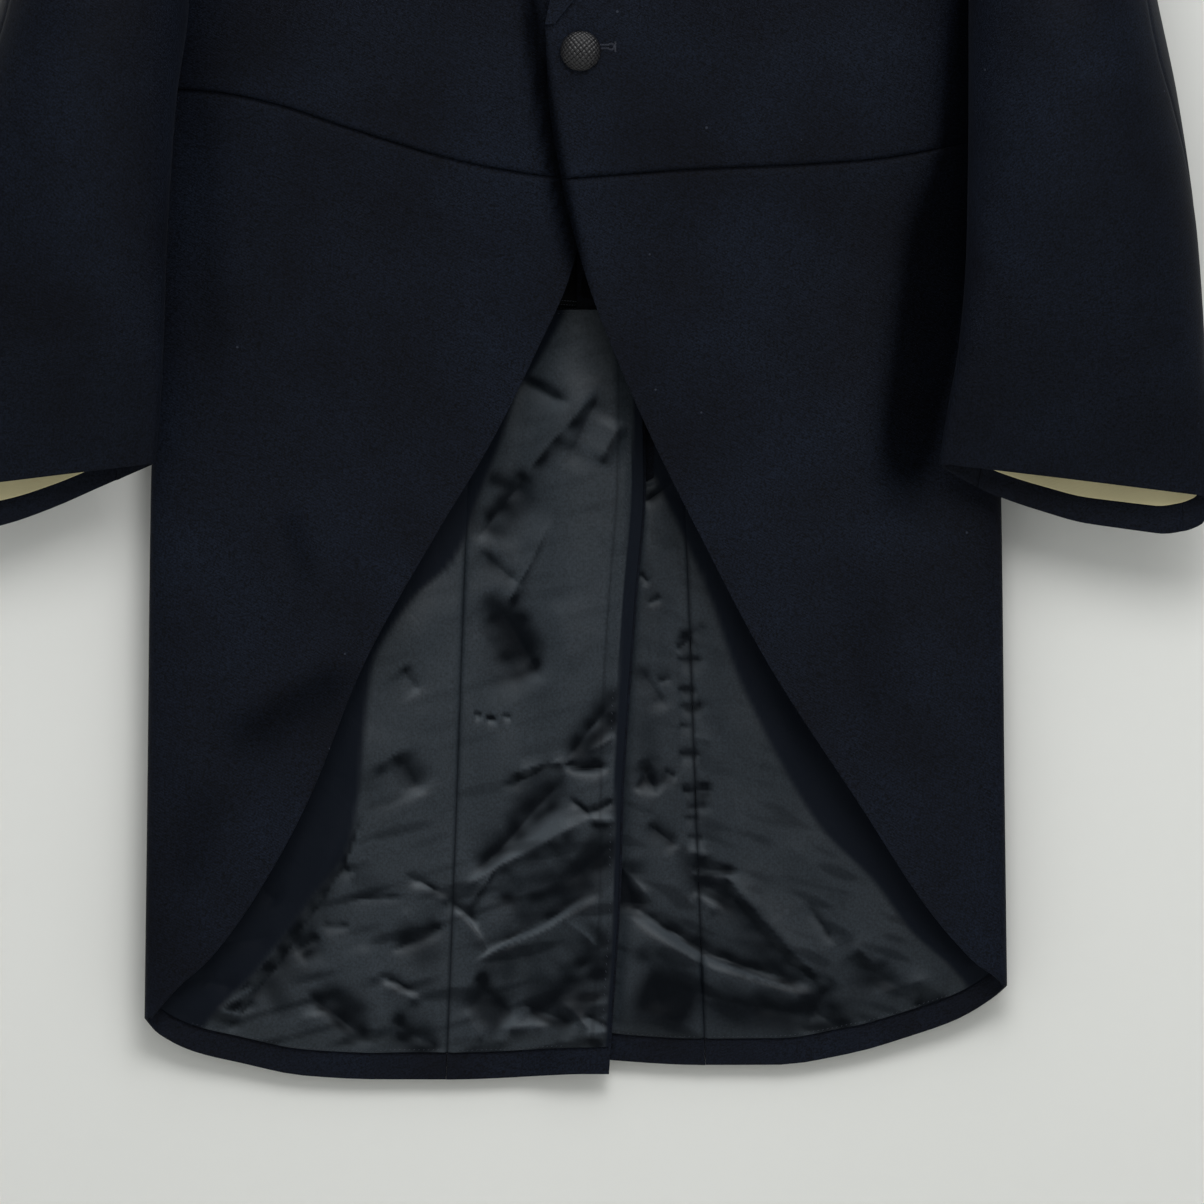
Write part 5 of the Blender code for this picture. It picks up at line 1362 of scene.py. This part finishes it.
def skirtLining(side):
    topBelow, last, keeps = liningCut["top"], 0.5, liningCut["sewnFlat"]

    def seamTurn(below):
        return turnAt(backSeamX(below) + hairGap / 2, below, False)

    def footAt(turn):
        return hemLine(side, bodyWidth(950) * np.sin(np.pi * turn))

    def start(v):
        below = partWay(topBelow, footAt(0.1), v)
        return seamTurn(below), below

    def end(v):
        return last + 0 * v, partWay(topBelow, footAt(last), v)

    def top(u):
        return seamTurn(topBelow) * (1 - u) + last * u, topBelow + 0 * u

    footTurn = float(seamTurn(footAt(0.1)))

    def bottom(u):
        turn = footTurn * (1 - u) + last * u
        return turn, footAt(turn)

    def toSeam(x, below):
        return x - backSeamX(below) - hairGap / 2

    edges = [(toSeam, keeps["sideSeam"]), (lambda x, below: hemLine(side, x) - below, keeps["hem"]),
             (lambda x, below: bodyWidth(below) - x, keeps["side"])]
    shares = [stations(liningCut[size], liningCut["sideCell"]) for size in ("sideLength", "sideWidth")]
    markSatin(liningPanel("skirtLining", side, (top, bottom, start, end), shares, edges), side, toSeam)


bodyLiningCut = {"top": 30, "slope": 60, "topShare": 0.55, "armholeEnds": 0.45, "length": 545, "cell": 7.5,
                 "width": 190, "sideCell": 6.5}


def bodyLining(side):
    cut, last, low = bodyLiningCut, liningCut["bodyTurn"], liningCut["top"] - seam
    sideTop = cut["top"] + cut["slope"]
    firstTurn = float(nudged(side, 0.0, 300.0, hairGap / 2))

    def top(u):
        return last * u * cut["topShare"], cut["top"] + cut["slope"] * u

    def bottom(u):
        return last * u, low + 0 * u

    def start(v):
        return firstTurn + 0 * v, partWay(cut["top"], low, v)

    def end(v):
        return last * partWay(cut["topShare"], 1.0, ease(v / cut["armholeEnds"])), partWay(sideTop, low, v)

    keep = liningCut["sewnFlat"]["body"]
    liningPanel("bodyLining", side, (top, bottom, start, end),
                (stations(cut["length"], cut["cell"]), stations(cut["width"], cut["sideCell"])),
                [(lambda x, below: low - below, keep), (lambda x, below: x + 3, keep)], "body_lining")


# painted shade of soft folds on the wool
woolShadeRows = rowsOf(creaseColumns, (-200, 820, -112, 766, 0, 0.42, 11, 16),
                      (-160, 680, -145, 734, 0, 0.26, 7, 7),
                      (-200, 830, -214, 900, 0, 0.2, 12, 12), (150, 700, 170, 820, 0, 0.12, 16, 12),
                      # painted shadow under the sleeve, and where the left front laps over the right one
                      (222, 340, 196, 640, 0, 1.2, 12, 11), (204, 480, 176, 706, 0, 1.3, 18, 17),
                      (-206, 420, -196, 640, 0, 0.2, 10, 10), (-26, 366, 12, 592, -7, 1.2, 5, 6.5),
                      (-14, 418, -2, 396, 0, 0.8, 3.5, 3.5))
woolMarks = {"deepest": 0.84, "waistSeamShade": 0.8, "waistWidth": 1.3}
for kind in ("forepart", "skirt"):
    for side in (left, right):
        spotX, spotBelow = placesOf(made[kind, side])
        folds = creaseHeight(spotX, spotBelow, woolShadeRows, markPlan["darkCrest"])
        # painted shade in the groove of the waist seam
        toWaist = bell(spotBelow - waistAt[side](side * spotX), woolMarks["waistWidth"])
        folds = np.maximum(np.minimum(folds, woolMarks["deepest"]), woolMarks["waistSeamShade"] * toWaist)
        setMark(made[kind, side], "paintedShade", folds)

for side in (left, right):
    backLining(side)
    skirtLining(side)
    bodyLining(side)
print("morning coat: linings laid")

# buttons: a domed mould covered in a basket braid
frontButton = {"diameter": 22, "cells": (46, 132), "height": 7.5, "strands": 13, "relief": 0.42, "x": 2.5,
               "below": 434.5, "turned": 0.7}
cuffButton = {"diameter": 13.5, "cells": (30, 84), "height": 5, "strands": 9, "relief": 0.32,
              "firstAboveEdge": 34, "spacing": 15.2, "count": 3, "angle": 0.8, "turned": 0.4}


def coveredButton(name, node, size, place, normal, turned):
    radius, height = size["diameter"] / 2, size["height"]
    rim = height * 0.35
    rings, around = size["cells"]
    lean = np.linspace(0, math.pi / 2, rings)
    dome = [(radius * math.sin(a), rim + (height - rim) * math.cos(a)) for a in lean]
    under = ((0.995, 0.75), (0.97, 0.4), (0.93, 0.15), (0.86, 0.0), (0.45, 0.0), (0.0, 0.0))
    profile = np.array(dome + [(radius * out, rim * up) for out, up in under])
    angle = np.linspace(0, 2 * math.pi, around, endpoint=False)
    r, z = profile[:, :1], profile[:, 1:]
    x, y = r * np.cos(angle), r * np.sin(angle)
    # over and under: strands run both ways across the dome and swap on a chequered plan
    pitch = size["diameter"] / size["strands"]
    reach = np.arcsin(np.clip(r / radius, 0, 1)) / (math.pi / 2) * radius * 1.12 / np.maximum(r, 1e-6)
    a, b = (x * reach) / pitch, (y * reach) / pitch
    chequer = np.where((np.floor(a) + np.floor(b)) % 2 == 0, 1.0, 0.0)
    ridgeA = np.abs(np.sin(np.pi * a)) ** 0.7 * (0.55 + 0.45 * np.abs(np.sin(np.pi * b)))
    ridgeB = np.abs(np.sin(np.pi * b)) ** 0.7 * (0.55 + 0.45 * np.abs(np.sin(np.pi * a)))
    cordA = np.abs(np.sin(np.pi * a * 3)) * 0.35
    cordB = np.abs(np.sin(np.pi * b * 3)) * 0.35
    weave = np.where(chequer > 0.5, ridgeA + cordB * ridgeA, ridgeB + cordA * ridgeB)
    onTop = (np.arange(len(profile)) < rings + 3)[:, None]
    # painted shade: darker between the cords, and a set shade under the dome
    gapShade = np.where(onTop, 1 - ease(weave / 0.85), 0.6).reshape(-1)
    weave = np.where(onTop, weave, 0) * size["relief"] - np.where(onTop, size["relief"] * 0.6, 0)
    points = np.stack([x, y, z + 0 * x], axis=-1)
    upward = np.maximum(z - rim, 0) / (height - rim) ** 2 + 0 * x + 1e-6
    points = points + unit(np.stack([x / radius ** 2, y / radius ** 2, upward], axis=-1)) * weave[..., None]
    frameZ = Vector(normal).normalized()
    frameX = Vector((math.cos(turned), 0, math.sin(turned)))
    frameX = (frameX - frameZ * frameX.dot(frameZ)).normalized()
    axes = np.array([frameX, frameZ.cross(frameX), frameZ])
    places = (points.reshape(-1, 3) @ axes + np.array(place)) * mm
    mesh = bpy.data.meshes.new(name)
    bm = bmesh.new()
    between = bm.verts.layers.float.new("paintedShade")
    verts = [bm.verts.new(p) for p in places]
    for vert, gap in zip(verts, gapShade):
        vert[between] = float(gap)
    joinGrid(bm, verts, around, closed=True, over=True)
    bmesh.ops.remove_doubles(bm, verts=bm.verts, dist=weldReach / 2)
    bmesh.ops.recalc_face_normals(bm, faces=bm.faces)
    bm.to_mesh(mesh)
    bm.free()
    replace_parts(addPiece(name, mesh, finishes["braided_silk"]), node)


turn = turnAt(frontButton["x"], frontButton["below"], True)
buttonNormal = bodyNormal(left, turn, frontButton["below"])
buttonPlace = bodyPoint(left, turn, frontButton["below"]) + buttonNormal * seam
coveredButton("frontButton", "front_button", frontButton, buttonPlace, buttonNormal, frontButton["turned"])
for side in (left, right):
    for i in range(cuffButton["count"]):
        above = cuffButton["firstAboveEdge"] + cuffButton["spacing"] * i
        step, angle = sleeveCut["last"] - above / sleeveCut["stepLength"], cuffButton["angle"]
        turning = sleevePoint(side, step, angle + 0.01) - sleevePoint(side, step, angle - 0.01)
        down = sleevePoint(side, step + 0.05, angle) - sleevePoint(side, step - 0.05, angle)
        normal = unit(np.cross(down, turning) * side)
        name = f"{sideName[side]}_{i + 1}"
        coveredButton(f"cuffButton.{name}", f"cuff_button_{name}", cuffButton,
                      sleevePoint(side, step, angle) + normal * seam, normal, cuffButton["turned"] + i)
print("morning coat: buttons covered")

# sewing: threads laid along a path, each a small oval
stitchPlan = {
    "stitch": {"spacing": 4.2, "length": 1.5, "thickness": 0.42, "slant": 0.5},
    "row": {"spacing": 1.5, "length": 1.35, "thickness": 0.42, "slant": 0.1},
    "fell": {"spacing": 2.6, "length": 1.1, "thickness": 0.34, "slant": 0.35},
    "purl": {"spacing": 0.55, "length": 1.5, "thickness": 0.5, "slant": math.pi / 2},
    "proud": 0.1,
}


def stitchTree(material):  # Geometry Nodes: one oval thread at every step along the path
    tree = bpy.data.node_groups.new("stitches along a path", "GeometryNodeTree")
    face = tree.interface
    face.new_socket("Geometry", in_out="INPUT", socket_type="NodeSocketGeometry")
    for label in ("Spacing", "Length", "Thickness", "Slant", "Unevenness"):
        face.new_socket(label, in_out="INPUT", socket_type="NodeSocketFloat")
    face.new_socket("Geometry", in_out="OUTPUT", socket_type="NodeSocketGeometry")
    given = addNode(tree, "NodeGroupInput").outputs
    path = addNode(tree, "GeometryNodeMeshToCurve", {"Mesh": given["Geometry"]}).outputs["Curve"]
    steps = addNode(tree, "GeometryNodeResampleCurve", {"Curve": path, "Length": given["Spacing"]},
                    mode="LENGTH").outputs["Curve"]
    outward = addNode(tree, "GeometryNodeInputNamedAttribute", data_type="FLOAT_VECTOR",
                      values={"Name": "outward"}).outputs["Attribute"]
    onward = addNode(tree, "GeometryNodeInputTangent").outputs["Tangent"]
    upright = addNode(tree, "FunctionNodeAlignRotationToVector", {"Vector": outward}, axis="Z").outputs[0]
    laid = addNode(tree, "FunctionNodeAlignRotationToVector", {"Rotation": upright, "Vector": onward},
                   axis="X", pivot_axis="Z").outputs[0]
    wander = addNode(tree, "FunctionNodeRandomValue", data_type="FLOAT",
                     values={"Min": -1.0, "Max": 1.0, "Seed": 7}).outputs["Value"]
    drift = maths(tree, "MULTIPLY_ADD", wander, given["Unevenness"], given["Slant"])
    turn = addNode(tree, "ShaderNodeCombineXYZ", {"Z": drift}).outputs[0]
    lean = addNode(tree, "FunctionNodeRotateRotation", {"Rotation": laid, "Rotate By": turn},
                   rotation_space="LOCAL").outputs[0]
    oval = addNode(tree, "GeometryNodeMeshUVSphere",
                   values={"Segments": 6, "Rings": 4, "Radius": 0.5}).outputs["Mesh"]
    size = addNode(tree, "ShaderNodeCombineXYZ",
                   {"X": given["Length"], "Y": given["Thickness"], "Z": given["Thickness"]}).outputs[0]
    shape = addNode(tree, "GeometryNodeTransform", {"Geometry": oval, "Scale": size}).outputs[0]
    sewn = addNode(tree, "GeometryNodeInstanceOnPoints",
                   {"Points": steps, "Instance": shape, "Rotation": lean}).outputs[0]
    real = addNode(tree, "GeometryNodeRealizeInstances", {"Geometry": sewn}).outputs[0]
    coloured = addNode(tree, "GeometryNodeSetMaterial", {"Geometry": real}, values={"Material": material})
    addNode(tree, "NodeGroupOutput", {"Geometry": coloured.outputs[0]})
    return tree


sewing = stitchTree(thread)


def onCloth(piece, places, wall):  # points on the cloth's face towards the front, and which way it faces
    mesh = piece.data
    cloth = BVHTree.FromPolygons([v.co for v in mesh.vertices], [p.vertices[:] for p in mesh.polygons])
    spots = []
    for x, below in places:
        ahead = Vector((x * mm, -0.4, (-hookToNape - below) * mm))
        hit, normal, _, _ = cloth.ray_cast(ahead, Vector((0, 1, 0)))
        if hit is None:
            continue
        normal = -normal if normal.y > 0 else normal
        spots.append((hit + normal * (wall + stitchPlan["proud"]) * mm, normal))
    return spots


def stitches(name, paths, kind, unevenness=0.12):
    verts, edges, normals = [], [], []
    for spots in paths:
        first = len(verts)
        verts += [spot for spot, _ in spots]
        normals += [normal for _, normal in spots]
        edges += [(i, i + 1) for i in range(first, len(verts) - 1)]
    path = bpy.data.meshes.new(name + " path")
    path.from_pydata(verts, edges, [])
    outward = path.attributes.new("outward", "FLOAT_VECTOR", "POINT")
    outward.data.foreach_set("vector", np.array(normals, dtype=np.float32).ravel())
    carrier = bpy.data.objects.new(name + " path", path)
    bpy.context.scene.collection.objects.link(carrier)
    modifier = carrier.modifiers.new("sewing", "NODES")
    modifier.node_group = sewing
    given = {label.title(): stitchPlan[kind][label] * mm for label in ("spacing", "length", "thickness")}
    given.update({"Slant": stitchPlan[kind]["slant"], "Unevenness": unevenness})
    for socket in sewing.interface.items_tree:
        if socket.name in given:
            modifier[socket.identifier] = given[socket.name]
    bpy.context.view_layer.update()
    ready = carrier.evaluated_get(bpy.context.evaluated_depsgraph_get())
    mesh = bpy.data.meshes.new_from_object(ready)
    bpy.data.objects.remove(carrier)
    return addPiece(name, mesh, thread)


def lineOf(rows, step=3.0):  # points every few millimetres along straight runs
    out = []
    for (x0, b0), (x1, b1) in zip(rows, rows[1:]):
        count = max(int(math.hypot(x1 - x0, b1 - b0) / step), 1)
        out += [(x0 + (x1 - x0) * i / count, b0 + (b1 - b0) * i / count) for i in range(count)]
    return out + [rows[-1]]


fellPlan = {"below": 578.2, "aboveHem": 1.2, "besideVent": 4.6}
for side in (left, right):
    panel, wide = made["backLining", side], made["skirtLining", side]
    first = {left: 9, right: -1.5}[side]
    tops = [onCloth(piece, lineOf([(x, fellPlan["below"]), (side * last, fellPlan["below"])]), lining)
            for piece, x, last in ((panel, first, 52), (wide, side * 57, 200))]
    stitches(f"topFelling.{sideName[side]}", tops, "fell")
    hems = []
    for piece, *ends in ((panel, 8, 68), (wide, 76, 214)):
        run = [(side * x, float(hemLine(side, x)) - fellPlan["aboveHem"]) for x in np.arange(*ends, 3.0)]
        hems.append(onCloth(piece, run, lining))
    stitches(f"hemFelling.{sideName[side]}", hems, "fell")
ventRun = [(float(ventLining(below)) - fellPlan["besideVent"], below) for below in np.arange(584, 976, 3.0)]
stitches("ventStitching", [onCloth(made["backLining", right], ventRun, lining)], "stitch")

# the rows of stitching that hold the lining's top edge to the black body lining
for name, foot in (("upper", 571.4), ("middle", 573.2), ("lower", 575.2)):
    runs = []
    for side in (left, right):
        run = lineOf([(side * 0.6, foot + side * 0.1), (side * 40, foot + side * 3)], 2.0)
        runs.append(onCloth(made["bodyLining", side], run, lining))
    stitches(f"topRow.{name}", [run for run in runs if len(run) > 1], "row")

# a worked buttonhole under the front button: purled along both lips, round the eye, and a bar across its end
buttonhole = {"from": 4.0, "to": 21.0, "below": 432.6, "lip": 0.95, "eye": 1.7, "bar": 2.6, "eyeOpen": 0.6,
              "barAway": 0.6, "unevenness": 0.25}


def workedHole():
    hole = buttonhole
    lip, eye, low = hole["lip"], hole["eye"], hole["below"]
    eyeX, barX = hole["to"] - eye, hole["to"] + hole["barAway"]
    turns = np.linspace(hole["eyeOpen"], 2 * math.pi - hole["eyeOpen"], 15)
    ring = [(eyeX - eye * math.cos(a), low - eye * math.sin(a)) for a in turns]
    upper = lineOf([(hole["from"], low - lip), (hole["to"] - 2 * eye, low - lip)], 1.0)
    lower = lineOf([(hole["to"] - 2 * eye, low + lip), (hole["from"], low + lip)], 1.0)
    bar = lineOf([(barX, low - hole["bar"]), (barX, low + hole["bar"])], 0.8)
    runs = [onCloth(made["forepart", left], run, 0.0) for run in (upper + ring + lower, bar)]
    stitches("buttonhole", runs, "purl", hole["unevenness"])


workedHole()
print("morning coat: seams sewn")

# what each piece of cloth was cut to, in metres, and what it hangs from
sheetRows = rowsOf("piece width length area held on",
                   ("forepart", 0.270, 0.525, 0.107, "hung", ["hanger"]),
                   ("sidebody", 0.185, 0.290, 0.033, "hung", ["forepart_{}"]),
                   ("back", 0.255, 1.015, 0.110, "hung", ["hanger"]),
                   ("skirt", 0.420, 0.520, 0.160, "hung", ["forepart_{}"]),
                   ("topsleeve", 0.230, 0.640, 0.0945, "hung", ["forepart_{}"]),
                   ("undersleeve", 0.190, 0.600, 0.076, "hung", ["topsleeve_{}"]),
                   ("lapel", 0.130, 0.360, 0.0267, "folded", ["forepart_{}"]),
                   ("collar", 0.110, 0.460, 0.035, "folded", ["hanger"]),
                   ("skirtLining", 0.185, 0.400, 0.068, "hung", ["back_{}"]),
                   ("bodyLining", 0.190, 0.570, 0.107, "hung", ["back_{}"]),
                   ("sleeveLining", 0.300, 0.075, 0.0215, "hung", ["topsleeve_{}"]))
for (kind, side), piece in made.items():
    name = sideName.get(side, "")
    if kind == "backLining":
        continue
    row = next(row for row in sheetRows if row["piece"] == kind)
    [node.format(name) for node in row["on"]]

# hanger and hook keep their solids' shape
for node, material in (("hanger", varnishedBeech()), ("hook", platedWire())):
    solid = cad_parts[node]
    for slot in solid.material_slots:
        slot.material = material

# stage, light and camera
stageSize = {"wallY": 0.0575, "floorZ": -1.62, "reach": 3.4, "top": 1.6, "bend": 0.35, "half": 3.2}
cameraPlace = {"x": 0.0143, "z": -0.832, "distance": 16.0, "planeY": 0.02, "width": 0.662}
lightPlan = {"skyStrength": 0.54}
# azimuth, height, distance, size, power and what each is aimed at
lampRows = rowsOf("name azimuth height distance size power x z",
                  ("key lamp", 4, 24, 1.7, 0.95, 13, 0.02, -0.42),
                  ("right lamp", 19, 24, 1.7, 1.1, 6.5, 0.02, -0.42),
                  ("ceiling lamp", 2, 62, 1.9, 1.7, 4, 0.0, -0.50),
                  ("lamp behind", 200, 25, 3.0, 1.6, 20, 0.0, -0.5))


def wallPaint():  # matt emulsion on a smooth wall, barely mottled
    material, tree, shader, _, _ = mottled("pale matt wall paint", "#dfe0dc", "#e6e6e3", 2.5, 3.0,
                                           Roughness=0.9, Specular_IOR_Level=0.1)
    # seen or lit from behind, the wall lets light through, so that the coat's back can be looked at
    behind = addNode(tree, "ShaderNodeNewGeometry").outputs["Backfacing"]
    shadow = addNode(tree, "ShaderNodeLightPath").outputs["Is Shadow Ray"]
    clear = maths(tree, "MAXIMUM", behind, shadow)
    through = addNode(tree, "ShaderNodeBsdfTransparent").outputs[0]
    mix = addNode(tree, "ShaderNodeMixShader", {0: clear, 1: shader.outputs[0], 2: through})
    tree.links.new(mix.outputs[0], tree.nodes["Material Output"].inputs["Surface"])
    return material


def makeStage():
    bend, wallY, floorZ = stageSize["bend"], stageSize["wallY"], stageSize["floorZ"]
    line = [(wallY, stageSize["top"]), (wallY, floorZ + bend)]
    for angle in np.linspace(0, math.pi / 2, 17)[1:]:
        line.append((wallY - bend + bend * math.cos(angle), floorZ + bend - bend * math.sin(angle)))
    line.append((-stageSize["reach"], floorZ))
    mesh = bpy.data.meshes.new("studio sweep")
    half = stageSize["half"]
    verts = [(x, y, z) for x in (-half, half) for y, z in line]
    count = len(line)
    faces = [(i, i + 1, count + i + 1, count + i) for i in range(count - 1)]
    mesh.from_pydata(verts, [], faces)
    mesh.shade_smooth()
    mesh.materials.append(wallPaint())
    sweep = bpy.data.objects.new("studioSweep", mesh)
    bpy.context.scene.collection.objects.link(sweep)


def aimedLamp(row):
    data = bpy.data.lights.new(row["name"], "AREA")
    data.shape = "DISK"
    data.size = row["size"]
    data.energy = row["power"]
    lamp = bpy.data.objects.new(row["name"], data)
    azimuth, height = math.radians(row["azimuth"]), math.radians(row["height"])
    level = math.cos(height)
    away = Vector((math.sin(azimuth) * level, -math.cos(azimuth) * level, math.sin(height)))
    lamp.location = Vector((row["x"], 0, row["z"])) + away * row["distance"]
    lamp.rotation_euler = away.to_track_quat("Z", "Y").to_euler()
    lamp.visible_camera = False
    bpy.context.scene.collection.objects.link(lamp)


makeStage()
for row in lampRows:
    aimedLamp(row)
world = bpy.data.worlds.new("pale room")
bpy.context.scene.world = world
world.use_nodes = True
world.node_tree.nodes["Background"].inputs["Color"].default_value = srgb("#f1f3f4")
world.node_tree.nodes["Background"].inputs["Strength"].default_value = lightPlan["skyStrength"]

lens = bpy.data.cameras.new("photo camera")
lens.sensor_width = 36
lens.lens = 36 * cameraPlace["distance"] / cameraPlace["width"]
camera = bpy.data.objects.new("photo camera", lens)
camera.location = (cameraPlace["x"], cameraPlace["planeY"] - cameraPlace["distance"], cameraPlace["z"])
camera.rotation_euler = (math.pi / 2, 0, 0)
bpy.context.scene.collection.objects.link(camera)
bpy.context.scene.camera = camera
bpy.context.scene.view_settings.view_transform = "Standard"

print("morning coat: staged")
